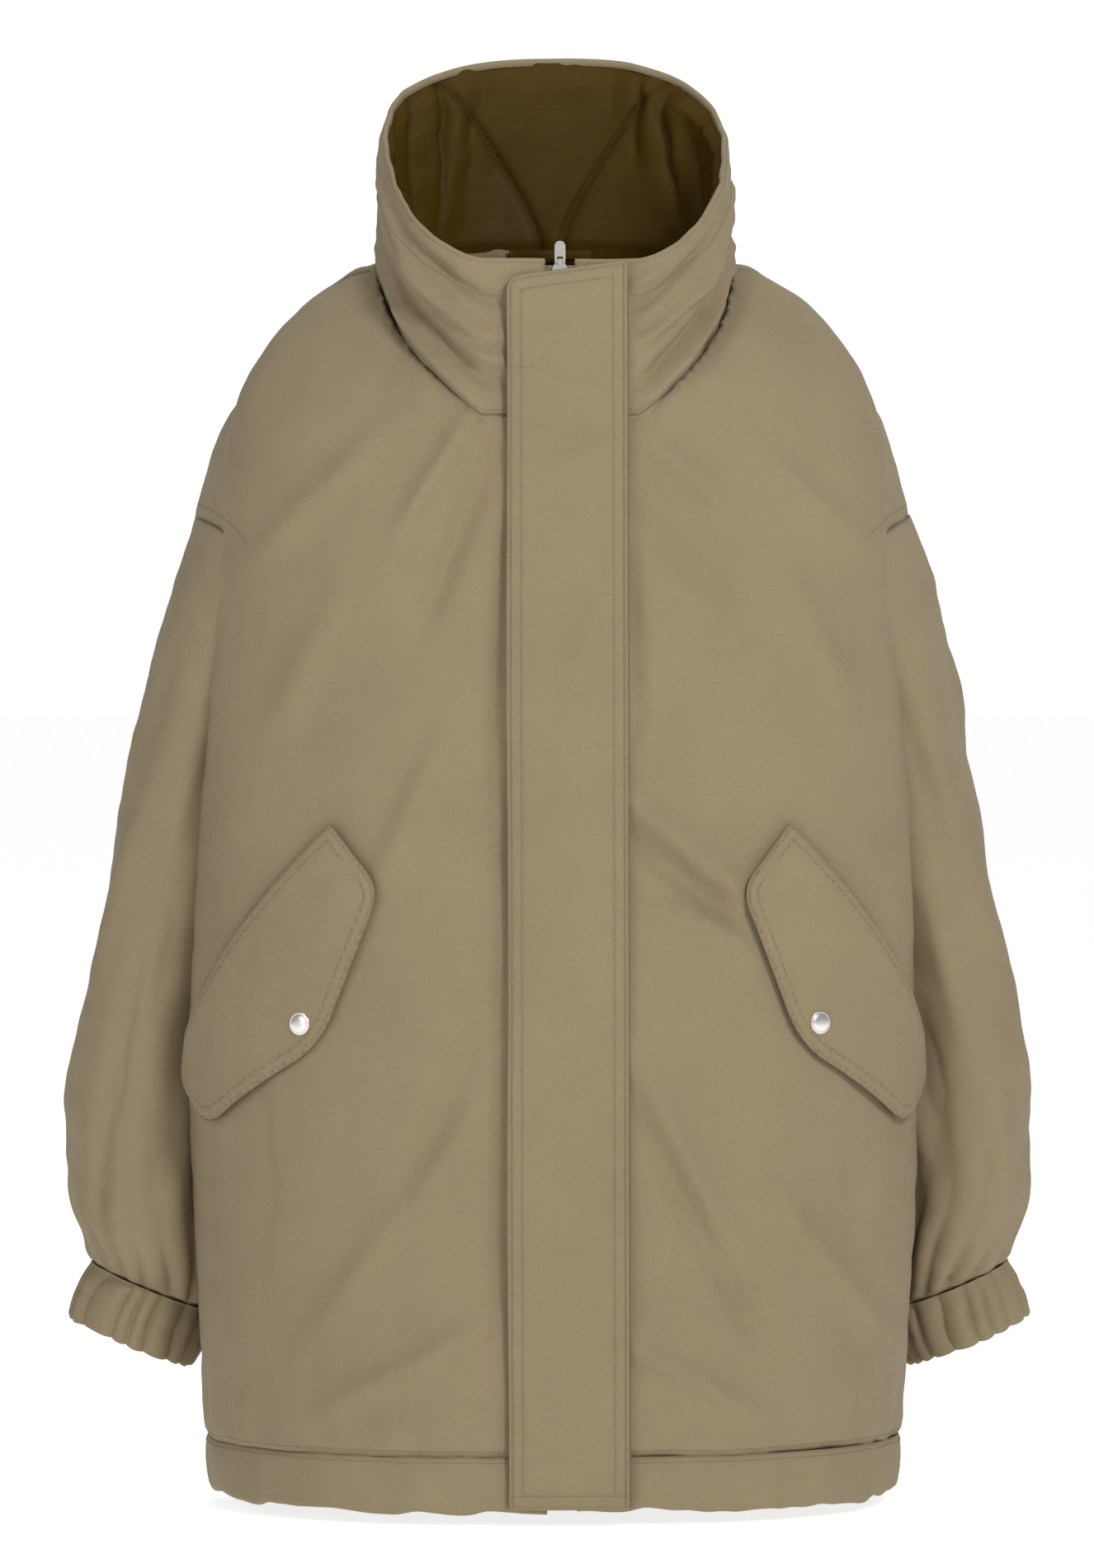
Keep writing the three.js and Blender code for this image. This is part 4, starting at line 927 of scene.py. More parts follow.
def frontSurface(turn, z, off):
    turn, z = np.asarray(turn, float), np.asarray(z, float)
    no = np.zeros(turn.shape, bool)
    p = bodyPoint(turn, no, z)
    across = bodyPoint(turn + 2, no, z) - bodyPoint(turn - 2, no, z)
    rise = bodyPoint(turn, no, z + 10) - bodyPoint(turn, no, z - 10)
    n = np.cross(across, rise)
    n /= np.linalg.norm(n, axis=-1, keepdims=True)
    return p + n * np.asarray(off, float)[..., None], n


def roundedOutline(corners, radii, each=9):  # a closed outline whose corners are rounded
    c = np.array(corners, float)
    out = []
    for i, r in enumerate(radii):
        a, b, d = c[i - 1], c[i], c[(i + 1) % len(c)]
        u, v = (a - b) / np.linalg.norm(a - b), (d - b) / np.linalg.norm(d - b)
        for t in np.linspace(0, 1, each if r else 1):
            out.append((b + u * r) * (1 - t) ** 2 + 2 * t * (1 - t) * b + (b + v * r) * t * t)
    return np.array(out)


def turnToWidth(turn, z):  # a turn as a distance across the cloth, so that corners round evenly
    half = profile([(0, body["hemHalf"]), (body["hip"], body["hipHalf"]),
                    (body["waist"], body["waistHalf"])], z)
    return np.asarray(turn) * math.pi / 180 * 0.92 * half


def widthToTurn(w, z):
    half = profile([(0, body["hemHalf"]), (body["hip"], body["hipHalf"]),
                    (body["waist"], body["waistHalf"])], z)
    return np.asarray(w) / (math.pi / 180 * 0.92 * half)


def pocketOutline():
    corners = [pocket["hinge"][0], *pocket["free"], pocket["hinge"][1]]
    flat = [(float(turnToWidth(t, z)), z) for t, z in corners]
    return roundedOutline(flat, [5, 16, 26, 22, 12, 6])


def pocketMesh(side, name):
    k = pocket
    outline = resample(np.concatenate([pocketOutline(), pocketOutline()[:1]]), 2.5)[:-1]
    mesh = bmesh.new()
    verts = [mesh.verts.new((x, z, 0)) for x, z in outline]
    mesh.faces.new(verts)
    bmesh.ops.triangulate(mesh, faces=mesh.faces[:])
    step = 3.0
    low, high = outline.min(0), outline.max(0)
    for axis in (0, 1):
        for value in np.arange(low[axis] + step, high[axis], step):
            point, normal = [0, 0, 0], [0, 0, 0]
            point[axis], normal[axis] = value, 1
            bmesh.ops.bisect_plane(mesh, geom=mesh.verts[:] + mesh.edges[:] + mesh.faces[:], plane_co=point,
                                   plane_no=normal, dist=1e-4)
    bmesh.ops.remove_doubles(mesh, verts=mesh.verts, dist=0.02)
    q = np.array([v.co[:2] for v in mesh.verts])
    a, b = outline, np.roll(outline, -1, 0)
    d = b - a
    t = np.clip(((q[:, None] - a) * d).sum(-1) / (d * d).sum(-1), 0, 1)
    edge = np.linalg.norm(q[:, None] - (a + d * t[..., None]), axis=-1).min(1)
    hingeA, hingeB = [np.array((float(turnToWidth(*h)), h[1])) for h in k["hinge"]]
    run = (hingeB - hingeA) / np.linalg.norm(hingeB - hingeA)
    fromHinge = np.abs((q - hingeA) @ np.array([-run[1], run[0]]))
    along = (q - hingeA) @ run
    flatP = np.stack([q[:, 0], 0 * q[:, 0], q[:, 1]], -1)
    lift = k["puff"] * smooth(1, 9, edge) - k["stitchPinch"] * (bump(edge, 2.2, 1.0) + bump(edge, 8.6, 1.2))
    lift += 0.9 * waves(flatP, 75, 81 + side) * smooth(0, 30, fromHinge) + 0.3 * waves(flatP, 30, 82)
    lift += 1.2 * np.sin(along / 20 + side) * smooth(30, 80, fromHinge) * 0.5
    lift += -0.8 * bump(edge, 0, 2) + 1.2 * smooth(40, 0, fromHinge) * 0.4
    roundOff = 0.5 * k["ply"] * (1 - np.sqrt(np.clip(1 - (1 - np.clip(edge / k["edge"], 0, 1)) ** 2, 0, 1)))
    turn = widthToTurn(q[:, 0], q[:, 1])
    outer, n = frontSurface(turn, q[:, 1], k["standOff"] + k["ply"] + lift - roundOff)
    inner, _ = frontSurface(turn, q[:, 1], k["standOff"] + roundOff + 0.15 + 0 * lift)
    count = len(q)
    faces = [[v.index for v in f.verts] for f in mesh.faces]
    boundary = [(e.link_loops[0].vert.index, e.link_loops[0].link_loop_next.vert.index)
                for e in mesh.edges if e.is_boundary]
    mesh.verts.index_update()
    mesh.free()
    faces2 = faces + [[i + count for i in f[::-1]] for f in faces]
    faces2 += [(b_, a_, a_ + count, b_ + count) for a_, b_ in boundary]
    pts = np.concatenate([outer, inner]) * [side, 1, 1]
    obj = newObject(name, toRow(pts), faces2)
    with editing(obj) as mesh:
        bmesh.ops.recalc_face_normals(mesh, faces=mesh.faces)
    e2 = np.concatenate([edge, edge])
    setAttribute(obj, "seam", np.minimum(np.abs(e2 - 2.2), np.abs(e2 - 8.6)))
    return obj


def bagMesh(side, name):
    k = pocket
    share = np.linspace(0, 1, 24)
    turn = k["hinge"][0][0] + (k["hinge"][1][0] - k["hinge"][0][0]) * share
    z = k["hinge"][0][1] + (k["hinge"][1][1] - k["hinge"][0][1]) * share
    front, rear = [], []
    for d in np.linspace(0, 1, 18):
        a, _ = frontSurface(turn - 4 * d, z - 110 * d, -k["bagDepth"] + 0 * share)
        b, _ = frontSurface(turn - 4 * d, z - 110 * d, -k["bagDepth"] - k["bagWall"] + 0 * share)
        front.append(a)
        rear.append(b)
    loop = np.concatenate([front, rear[::-1], [front[0]]]) * [side, 1, 1]
    obj = gridObject(name, loop)
    with editing(obj) as mesh:
        bmesh.ops.remove_doubles(mesh, verts=mesh.verts, dist=1e-6)
        bmesh.ops.holes_fill(mesh, edges=[e for e in mesh.edges if e.is_boundary])
        bmesh.ops.recalc_face_normals(mesh, faces=mesh.faces)
    return obj


pocketFlaps = {s: pocketMesh(k, s + "PocketFlap") for s, k in (("right", -1), ("left", 1))}
pocketBags = {s: bagMesh(k, s + "PocketBag") for s, k in (("right", -1), ("left", 1))}
print("collar, storm flap and pockets made")

# zip, snaps and hanging loop
zipper = {"foot": 4, "teethInner": 1.2, "teethOuter": 3.5, "teethDepth": 1.9, "teethThick": 1.6, "pitch": 2.6,
          "tape": 18, "tapeThick": 0.8, "teethFoot": 13.9, "top": 829.9, "tapeTop": 830}
snap = {"radius": 7.8, "capAt": 7.8, "domeHeight": 1.9}
loop = {"half": 28, "width": 6, "thick": 1.4, "bow": 9}


def node(tree, kind, values=(), **settings):  # one node, with its settings and unlinked inputs
    n = tree.nodes.new(kind)
    for key, value in settings.items():
        setattr(n, key, value)
    for key, value in dict(values).items():
        n.inputs[key].default_value = value
    return n


def geometryTree(name, sockets):
    tree = bpy.data.node_groups.new(name, "GeometryNodeTree")
    tree.interface.new_socket("Geometry", in_out="INPUT", socket_type="NodeSocketGeometry")
    ids = {}
    for label, kind, value in sockets:
        s = tree.interface.new_socket(label, in_out="INPUT", socket_type=kind)
        if value is not None:
            s.default_value = value
        ids[label] = s.identifier
    tree.interface.new_socket("Geometry", in_out="OUTPUT", socket_type="NodeSocketGeometry")
    return tree, ids


def repeatTree(name, shape):  # a small shape laid along every line at an even pitch
    number = "NodeSocketFloat"
    tree, ids = geometryTree(name, [("Pitch", number, 0.003), ("Length", number, 0.0024),
                                    ("Thickness", number, 0.0005), ("Height", number, 0.0004),
                                    ("Unevenness", number, 0.1), ("Material", "NodeSocketMaterial", None)])
    link = tree.links.new
    start, end = node(tree, "NodeGroupInput"), node(tree, "NodeGroupOutput")
    curve = node(tree, "GeometryNodeMeshToCurve")
    spread = node(tree, "GeometryNodeResampleCurve", mode="LENGTH")
    link(start.outputs["Geometry"], curve.inputs["Mesh"])
    link(curve.outputs["Curve"], spread.inputs["Curve"])
    link(start.outputs["Pitch"], spread.inputs["Length"])
    tangent = node(tree, "GeometryNodeInputTangent")
    align = node(tree, "FunctionNodeAlignRotationToVector", axis="X")
    link(tangent.outputs["Tangent"], align.inputs["Vector"])
    size = node(tree, "ShaderNodeCombineXYZ")
    link(start.outputs["Length"], size.inputs["X"])
    link(start.outputs["Thickness"], size.inputs["Y"])
    link(start.outputs["Height"], size.inputs["Z"])
    uneven = node(tree, "FunctionNodeRandomValue", data_type="FLOAT")
    less = node(tree, "ShaderNodeMath", {0: 1.0}, operation="SUBTRACT")
    link(start.outputs["Unevenness"], less.inputs[1])
    link(less.outputs[0], uneven.inputs[2])
    uneven.inputs[3].default_value = 1.0
    uneven.inputs["Seed"].default_value = 7
    scaled = node(tree, "ShaderNodeVectorMath", operation="SCALE")
    link(size.outputs["Vector"], scaled.inputs[0])
    link(uneven.outputs[1], scaled.inputs["Scale"])
    if shape == "ball":
        piece = node(tree, "GeometryNodeMeshIcoSphere", {"Radius": 0.5, "Subdivisions": 1})
    else:
        piece = node(tree, "GeometryNodeMeshCylinder", {"Vertices": 8, "Radius": 0.5, "Depth": 1.0})
    place = node(tree, "GeometryNodeInstanceOnPoints")
    link(spread.outputs["Curve"], place.inputs["Points"])
    link(piece.outputs["Mesh"], place.inputs["Instance"])
    link(align.outputs["Rotation"], place.inputs["Rotation"])
    link(scaled.outputs["Vector"], place.inputs["Scale"])
    real = node(tree, "GeometryNodeRealizeInstances")
    soft = node(tree, "GeometryNodeSetShadeSmooth")
    paint = node(tree, "GeometryNodeSetMaterial")
    link(place.outputs["Instances"], real.inputs["Geometry"])
    link(real.outputs["Geometry"], soft.inputs["Geometry"])
    link(soft.outputs["Geometry"], paint.inputs["Geometry"])
    link(start.outputs["Material"], paint.inputs["Material"])
    link(paint.outputs["Geometry"], end.inputs["Geometry"])
    return tree, ids


def laidPieces(name, lines, tree, ids, material, **values):  # lines are lists of points in metres
    verts, edges = [], []
    for line in lines:
        start = len(verts)
        verts += [tuple(p) for p in line]
        edges += [(start + i, start + i + 1) for i in range(len(line) - 1)]
    mesh = bpy.data.meshes.new(name)
    mesh.from_pydata(verts, edges, [])
    obj = bpy.data.objects.new(name, mesh)
    scene.collection.objects.link(obj)
    m = obj.modifiers.new("laid", "NODES")
    m.node_group = tree
    for label, value in values.items():
        m[ids[label]] = value
    m[ids["Material"]] = material
    return bake(obj)


def turnedMesh(name, rows, sides=48):  # a turned piece on +Y as its axis, rows of radius and distance out
    angle = np.linspace(0, 2 * math.pi, sides, endpoint=False)
    rings = np.array([np.stack([r * np.cos(angle), 0 * angle - out, r * np.sin(angle)], -1) for r,
                      out in rows])
    obj = newObject(name, rings.reshape(-1, 3), gridFaces(len(rows), sides, closed=True))
    with editing(obj) as mesh:
        bmesh.ops.remove_doubles(mesh, verts=mesh.verts, dist=1e-4)
        bmesh.ops.recalc_face_normals(mesh, faces=mesh.faces)
    return obj


def capMesh(side, name):
    s = snap
    r, h, base = s["radius"], s["domeHeight"], 0.0
    rows = [(0.001, base), (r - 0.8, base), (r - 0.2, base + 0.1), (r, base + 0.4), (r - 0.15, base + 0.8),
            (r - 0.6, base + 1.05), (r - 1.1, base + 1.12), (r - 1.5, base + 1.02)]
    rows += [((r - 1.9) * math.cos(a), base + 1.0 + (h - 1.0) * math.sin(a)) for a in np.linspace(0.15,
            math.pi / 2, 9)]
    obj = turnedMesh(name, rows)
    turn, z = np.array(pocket["snap"][0], float), np.array(pocket["snap"][1], float)
    p, n = frontSurface(turn, z, s["capAt"])
    p, n = p * [side, 1, 1], n * [side, 1, 1]
    flapObj = pocketFlaps["left" if side > 0 else "right"]
    tree = BVHTree.FromPolygons([v.co for v in flapObj.data.vertices],
                                [tuple(f.vertices) for f in flapObj.data.polygons])
    hit = tree.ray_cast(Vector(toRow(p + n * 20)), Vector(-n))[0]
    q = Vector((0, -1, 0)).rotation_difference(Vector(n))
    points = np.array([q @ Vector(v) for v in getPoints(obj)])
    setPoints(obj, points / 1000 + np.array(hit) - n * 0.0002)
    return obj


def tapeMesh(side, name):
    z_ = zipper
    x0, x1 = z_["teethOuter"] + 0.3, z_["teethOuter"] + z_["tape"]
    y0 = z_["teethDepth"] + (z_["teethThick"] - z_["tapeThick"]) / 2
    y1 = y0 + z_["tapeThick"]
    around = [(x0, y0 + .15), (x0 + .3, y0), (x0 + 5, y0), (x0 + 10, y0), (x1 - .3, y0), (x1, y0 + .2),
              (x1, y1 - .2),
              (x1 - .3, y1), (x0 + 10, y1), (x0 + 5, y1), (x0 + .3, y1), (x0, y1 - .15)]
    rows = []
    for z in np.linspace(z_["foot"], z_["tapeTop"], 160):
        ripple = 0.12 * np.sin(z / 9)
        rows.append([(side * x, y + ripple * (x > x0 + 3), z) for x, y in around])
    grid = np.array(rows)
    obj = gridObject(name, frontPlane(*np.moveaxis(grid, -1, 0)), closed=True)
    with editing(obj) as mesh:
        bmesh.ops.holes_fill(mesh, edges=[e for e in mesh.edges if e.is_boundary], sides=0)
        bmesh.ops.recalc_face_normals(mesh, faces=mesh.faces)
    return obj


def loopMesh():
    l = loop
    x = np.linspace(-l["half"], l["half"], 81)
    reach = np.clip(np.abs(x) / l["half"], 0, 1)
    y = -l["bow"] * (1 - smooth(0.1, 0.98, reach))
    section = [(-.5, -.35), (-.42, -.5), (0, -.5), (.42, -.5), (.5, -.35), (.5, .35), (.42, .5), (0, .5),
               (-.42, .5), (-.5, .35)]
    slope = np.gradient(y, x)
    normal = np.stack([-slope, np.ones_like(x)], -1) / np.hypot(slope, 1)[:, None]
    rows = []
    for i in range(len(x)):
        rows.append([(x[i] + normal[i, 0] * w * l["thick"], y[i] + normal[i, 1] * w * l["thick"],
                      v * l["width"])
                     for v, w in section])
    rows = np.array(rows)
    obj = newObject("hangingLoop", rows.reshape(-1, 3) / 1000,
                    gridFaces(len(rows), len(section), closed=True))
    with editing(obj) as mesh:
        bmesh.ops.holes_fill(mesh, edges=[e for e in mesh.edges if e.is_boundary], sides=0)
        bmesh.ops.recalc_face_normals(mesh, faces=mesh.faces)
    return obj


def layOn(obj, path, lift=0.15):  # moves a line in millimetres on to a finished surface, in metres
    tree = BVHTree.FromPolygons([v.co for v in obj.data.vertices],
                                [tuple(f.vertices) for f in obj.data.polygons])
    out = []
    for p in toRow(path):
        near, normal, _, gap = tree.find_nearest(Vector(p))
        if near is not None and gap < 0.03:
            out.append(near + normal * lift / 1000)
    return out


# finishes
shellLook = {"light": (0.278, 0.221, 0.131, 1), "dark": (0.205, 0.161, 0.094, 1), "rough": 0.8,
             "thread": 0.00075,
             "weave": 0.35, "sheen": 0.05, "gloss": 0.22, "grain": 0.9}
liningLook = {"light": (0.074, 0.042, 0.005, 1), "dark": (0.038, 0.021, 0.002, 1), "rough": 0.55,
              "gloss": 0.08}
metalLook = {"colour": (0.80, 0.78, 0.74, 1), "rough": 0.26}


def shaderGroup(name, inputs, outputs):
    tree = bpy.data.node_groups.new(name, "ShaderNodeTree")
    for label, kind, value in inputs:
        s = tree.interface.new_socket(label, in_out="INPUT", socket_type=kind)
        if value is not None:
            s.default_value = value
    for label, kind in outputs:
        tree.interface.new_socket(label, in_out="OUTPUT", socket_type=kind)
    return tree, node(tree, "NodeGroupInput"), node(tree, "NodeGroupOutput")


def math2(tree, operation, a, b=None, c=None):
    n = node(tree, "ShaderNodeMath", operation=operation)
    for i, value in enumerate((a, b, c)):
        if value is None:
            continue
        if isinstance(value, (int, float)):
            n.inputs[i].default_value = value
        else:
            tree.links.new(value, n.inputs[i])
    return n.outputs[0]


def twillGroup():  # diagonal threads and their uneven yarn
    f, v = "NodeSocketFloat", "NodeSocketVector"
    tree, i, o = shaderGroup("twillWeave", [("Vector", v, None), ("Threads", f, 1200.0), ("Slub", f, 0.4)],
                             [("Height", f), ("Shade", f)])
    link = tree.links.new
    wave = node(tree, "ShaderNodeTexWave", {"Distortion": 1.2, "Detail": 2.0, "Detail Scale": 1.5},
                wave_type="BANDS", bands_direction="DIAGONAL", wave_profile="SIN")
    link(i.outputs["Vector"], wave.inputs["Vector"])
    link(i.outputs["Threads"], wave.inputs["Scale"])
    yarn = node(tree, "ShaderNodeTexNoise", {"Detail": 4.0, "Roughness": 0.65})
    link(i.outputs["Vector"], yarn.inputs["Vector"])
    link(math2(tree, "MULTIPLY", i.outputs["Threads"], 1.4), yarn.inputs["Scale"])
    slub = math2(tree, "MULTIPLY", yarn.outputs["Fac"], i.outputs["Slub"])
    link(math2(tree, "ADD", math2(tree, "MULTIPLY", wave.outputs["Fac"], 0.6), slub), o.inputs["Height"])
    link(math2(tree, "ADD", math2(tree, "MULTIPLY", wave.outputs["Fac"], 0.25), slub), o.inputs["Shade"])
    return tree


def seamGroup():  # a narrow valley where cloth is sewn, and a painted shade about it, from its distance in millimetres
    f = "NodeSocketFloat"
    tree, i, o = shaderGroup("sewnLine", [("Distance", f, 30.0), ("Width", f, 1.1)],
                             [("Valley", f), ("PaintedSeamShade", f)])
    link = tree.links.new
    ratio = math2(tree, "DIVIDE", i.outputs["Distance"], i.outputs["Width"])
    link(math2(tree, "EXPONENT", math2(tree, "MULTIPLY", math2(tree, "MULTIPLY", ratio, ratio), -1.0)),
         o.inputs["Valley"])
    # painted shade: a wider, fainter darkening that falls off about the sewn line
    link(math2(tree, "EXPONENT", math2(tree, "MULTIPLY", ratio, -0.22)), o.inputs["PaintedSeamShade"])
    return tree


def mottleGroup():  # slow changes of tone, as washed and handled cloth has
    f, c, v = "NodeSocketFloat", "NodeSocketColor", "NodeSocketVector"
    tree, i, o = shaderGroup("clothTone", [("Vector", v, None), ("Light", c, None), ("Dark", c, None),
                                           ("Scale", f, 14.0), ("Grain", f, 0.3), ("Shade", f, 0.0)],
                             [("Color", c), ("Mask", f)])
    link = tree.links.new
    big = node(tree, "ShaderNodeTexNoise", {"Detail": 5.0, "Roughness": 0.6})
    link(i.outputs["Vector"], big.inputs["Vector"])
    link(i.outputs["Scale"], big.inputs["Scale"])
    fine = node(tree, "ShaderNodeTexNoise", {"Scale": 420.0, "Detail": 3.0, "Roughness": 0.7})
    link(i.outputs["Vector"], fine.inputs["Vector"])
    mask = math2(tree, "ADD", math2(tree, "MULTIPLY", big.outputs["Fac"], 0.7),
                 math2(tree, "MULTIPLY", math2(tree, "SUBTRACT", fine.outputs["Fac"], 0.5),
                       i.outputs["Grain"]))
    mask = math2(tree, "ADD", mask, math2(tree, "MULTIPLY", i.outputs["Shade"], 0.35))
    mix = node(tree, "ShaderNodeMix", data_type="RGBA")
    link(mask, mix.inputs[0])
    link(i.outputs["Light"], mix.inputs[6])
    link(i.outputs["Dark"], mix.inputs[7])
    link(mix.outputs[2], o.inputs["Color"])
    link(mask, o.inputs["Mask"])
    return tree


twillTree, seamTree, mottleTree = twillGroup(), seamGroup(), mottleGroup()


def newMaterial(name, rough, metallic=0.0, sheen=0.0):
    material = bpy.data.materials.new(name)
    material.use_nodes = True
    tree = material.node_tree
    shader = tree.nodes["Principled BSDF"]
    shader.inputs["Roughness"].default_value = rough
    shader.inputs["Metallic"].default_value = metallic
    shader.inputs["Sheen Weight"].default_value = sheen
    shader.inputs["Sheen Roughness"].default_value = 0.5
    coordinate = node(tree, "ShaderNodeTexCoord")
    return material, tree, shader, coordinate.outputs["Object"]


def groupNode(tree, group, values=()):
    n = tree.nodes.new("ShaderNodeGroup")
    n.node_tree = group
    for key, value in dict(values).items():
        n.inputs[key].default_value = value
    return n


def clothMaterial(name, look, threads, seamed=True, weave=0.3, sheen=0.0, seamWidth=1.2, seamDepth=0.9):
    material, tree, shader, place = newMaterial(name, look["rough"], sheen=sheen)
    shader.inputs["Specular IOR Level"].default_value = look.get("gloss", 0.3)
    link = tree.links.new
    twill = groupNode(tree, twillTree, {"Threads": threads})
    tone = groupNode(tree, mottleTree, {"Light": look["light"], "Dark": look["dark"],
                                        "Grain": look.get("grain", 0.3)})
    link(place, twill.inputs["Vector"])
    link(place, tone.inputs["Vector"])
    link(twill.outputs["Shade"], tone.inputs["Shade"])
    colour = tone.outputs["Color"]
    fine = node(tree, "ShaderNodeBump", {"Strength": weave, "Distance": 0.00025})
    link(twill.outputs["Height"], fine.inputs["Height"])
    if seamed:
        where = node(tree, "ShaderNodeAttribute", attribute_name="seam")
        sewn = groupNode(tree, seamTree, {"Width": seamWidth})
        link(where.outputs["Fac"], sewn.inputs["Distance"])
        dip = node(tree, "ShaderNodeBump", {"Strength": 1.0, "Distance": seamDepth / 1000}, invert=True)
        link(sewn.outputs["Valley"], dip.inputs["Height"])
        link(dip.outputs["Normal"], fine.inputs["Normal"])
        # painted shade: the colour is darkened in the sewn valley and, more faintly, about it, for the shade
        # that falls in the seam groove
        darker = node(tree, "ShaderNodeMix", data_type="RGBA", blend_type="MULTIPLY")
        darker.inputs[7].default_value = (0.62, 0.6, 0.56, 1)
        amount = math2(tree, "ADD", math2(tree, "MULTIPLY", sewn.outputs["Valley"], 0.5),
                       math2(tree, "MULTIPLY", sewn.outputs["PaintedSeamShade"], 0.12))
        link(amount, darker.inputs[0])
        link(colour, darker.inputs[6])
        colour = darker.outputs[2]
    link(colour, shader.inputs["Base Color"])
    link(math2(tree, "ADD", math2(tree, "MULTIPLY", tone.outputs["Mask"], 0.12), look["rough"] - 0.06),
         shader.inputs["Roughness"])
    link(fine.outputs["Normal"], shader.inputs["Normal"])
    return material


def metalMaterial():
    material, tree, shader, place = newMaterial("satinNickel", metalLook["rough"], metallic=1.0)
    link = tree.links.new
    stretch = node(tree, "ShaderNodeMapping")
    stretch.inputs["Scale"].default_value = (900, 900, 5200)
    link(place, stretch.inputs["Vector"])
    brush = node(tree, "ShaderNodeTexNoise", {"Scale": 1.0, "Detail": 3.0})
    link(stretch.outputs["Vector"], brush.inputs["Vector"])
    haze = node(tree, "ShaderNodeTexNoise", {"Scale": 260.0, "Detail": 4.0})
    link(place, haze.inputs["Vector"])
    mix = node(tree, "ShaderNodeMix", data_type="RGBA")
    mix.inputs[6].default_value = metalLook["colour"]
    mix.inputs[7].default_value = (0.72, 0.70, 0.66, 1)
    link(haze.outputs["Fac"], mix.inputs[0])
    link(mix.outputs[2], shader.inputs["Base Color"])
    link(math2(tree, "ADD", math2(tree, "MULTIPLY", haze.outputs["Fac"], 0.06), metalLook["rough"] - 0.03),
         shader.inputs["Roughness"])
    bumpNode = node(tree, "ShaderNodeBump", {"Strength": 0.12, "Distance": 0.0001})
    link(brush.outputs["Fac"], bumpNode.inputs["Height"])
    link(bumpNode.outputs["Normal"], shader.inputs["Normal"])
    return material


pocketLook = {"light": (0.16, 0.125, 0.07, 1), "dark": (0.12, 0.09, 0.05, 1), "rough": 0.8}
tapeLook = {"light": (0.2, 0.165, 0.105, 1), "dark": (0.14, 0.115, 0.07, 1), "rough": 0.85}
elasticLook = {"light": (0.08, 0.07, 0.05, 1), "dark": (0.04, 0.035, 0.027, 1), "rough": 0.85}
threadLook = {"light": (0.21, 0.165, 0.095, 1), "dark": (0.16, 0.122, 0.07, 1), "rough": 0.6}

shellCloth = clothMaterial("khakiTwill", shellLook, 1 / shellLook["thread"], weave=shellLook["weave"],
                           sheen=shellLook["sheen"])
flapCloth = clothMaterial("khakiTwillSewn", shellLook, 1 / shellLook["thread"], weave=shellLook["weave"],
                          sheen=shellLook["sheen"], seamWidth=0.8, seamDepth=0.35)
liningCloth = clothMaterial("quiltedLining", liningLook, 2400, weave=0.12, seamWidth=3.2, seamDepth=1.5)
innerCloth = clothMaterial("plainLining", liningLook, 2400, seamed=False, weave=0.12)
pocketCloth = clothMaterial("pocketing", pocketLook, 1800, seamed=False)
tapeCloth = clothMaterial("zipTape", tapeLook, 1500, seamed=False, weave=0.5)
elasticCloth = clothMaterial("ribbedElastic", elasticLook, 700, seamed=False, weave=0.7)
threadCloth = clothMaterial("sewingThread", threadLook, 2500, seamed=False, weave=0.2)
nickel = metalMaterial()
print("finishes ready")

# sewing lines
stitchTree, stitchIds = repeatTree("stitchRow", "ball")
toothTree, toothIds = repeatTree("zipTeethRow", "cylinder")
stitchSizes = {"Pitch": 0.0031, "Length": 0.0025, "Thickness": 0.00062, "Height": 0.00045, "Unevenness": 0.15}


def flapRows():
    lines = []
    for inset in (2.4, 9.4):
        f = flap
        z = np.linspace(f["bottom"] + inset, flapTop(np.array(f["free"] + inset)) - inset - 2, 300)
        lines.append(np.stack([0 * z + f["free"] + inset, 0 * z + outerNear - 2, z], -1))
        z = np.linspace(f["bottom"] + inset, f["topSeam"] - inset, 300)
        lines.append(np.stack([0 * z + f["seam"] - inset, 0 * z + outerNear - 2, z], -1))
    for x0, x1, z in ((flap["free"] + 3, flap["seam"] - 3, flap["bottom"] + 9.4),
                      (flap["free"] + 4, flap["free"] + 17, 762)):
        x = np.linspace(x0, x1, 40)
        lines.append(np.stack([x, 0 * x + outerNear - 2, 0 * x + z], -1))
    x = np.linspace(flap["free"] + 5, flap["seam"] - 3, 40)
    lines.append(np.stack([x, 0 * x + outerNear - 2, flapTop(x) - 2.4], -1))
    return [layOn(flapOuter, frontPlane(*line.T)) for line in lines]


def pocketRows(side, obj):
    outline = resample(np.concatenate([pocketOutline(), pocketOutline()[:1]]), 2.5)
    centreRun = np.gradient(outline, axis=0)
    inward = np.stack([-centreRun[:, 1], centreRun[:, 0]], -1)
    inward /= np.linalg.norm(inward, axis=1, keepdims=True)
    if np.sum((outline.mean(0) - outline) * inward) < 0:
        inward = -inward
    lines = []
    for inset in (2.2, 8.6):
        q = outline + inward * inset
        k = pocket
        p, n = frontSurface(widthToTurn(q[:, 0], q[:, 1]), q[:, 1],
                            np.full(len(q), k["standOff"] + k["ply"] + 2))
        lines.append(layOn(obj, p * [side, 1, 1]))
    return lines


def bodyRow(z):
    path = openLoop(lambda t, k: bodyPoint(t, k, np.full(t.shape, float(z))), 90)
    return path + outwards(path) * 4


def collarAt(share):
    k = share * (collar["rows"] - 1)
    i = int(k)
    row = collarOuter[i] * (1 - (k - i)) + collarOuter[min(i + 1, collar["rows"] - 1)] * (k - i)
    n = collarNormals[i]
    return [Vector(p) for p in toRow(row + n * 0.15)]


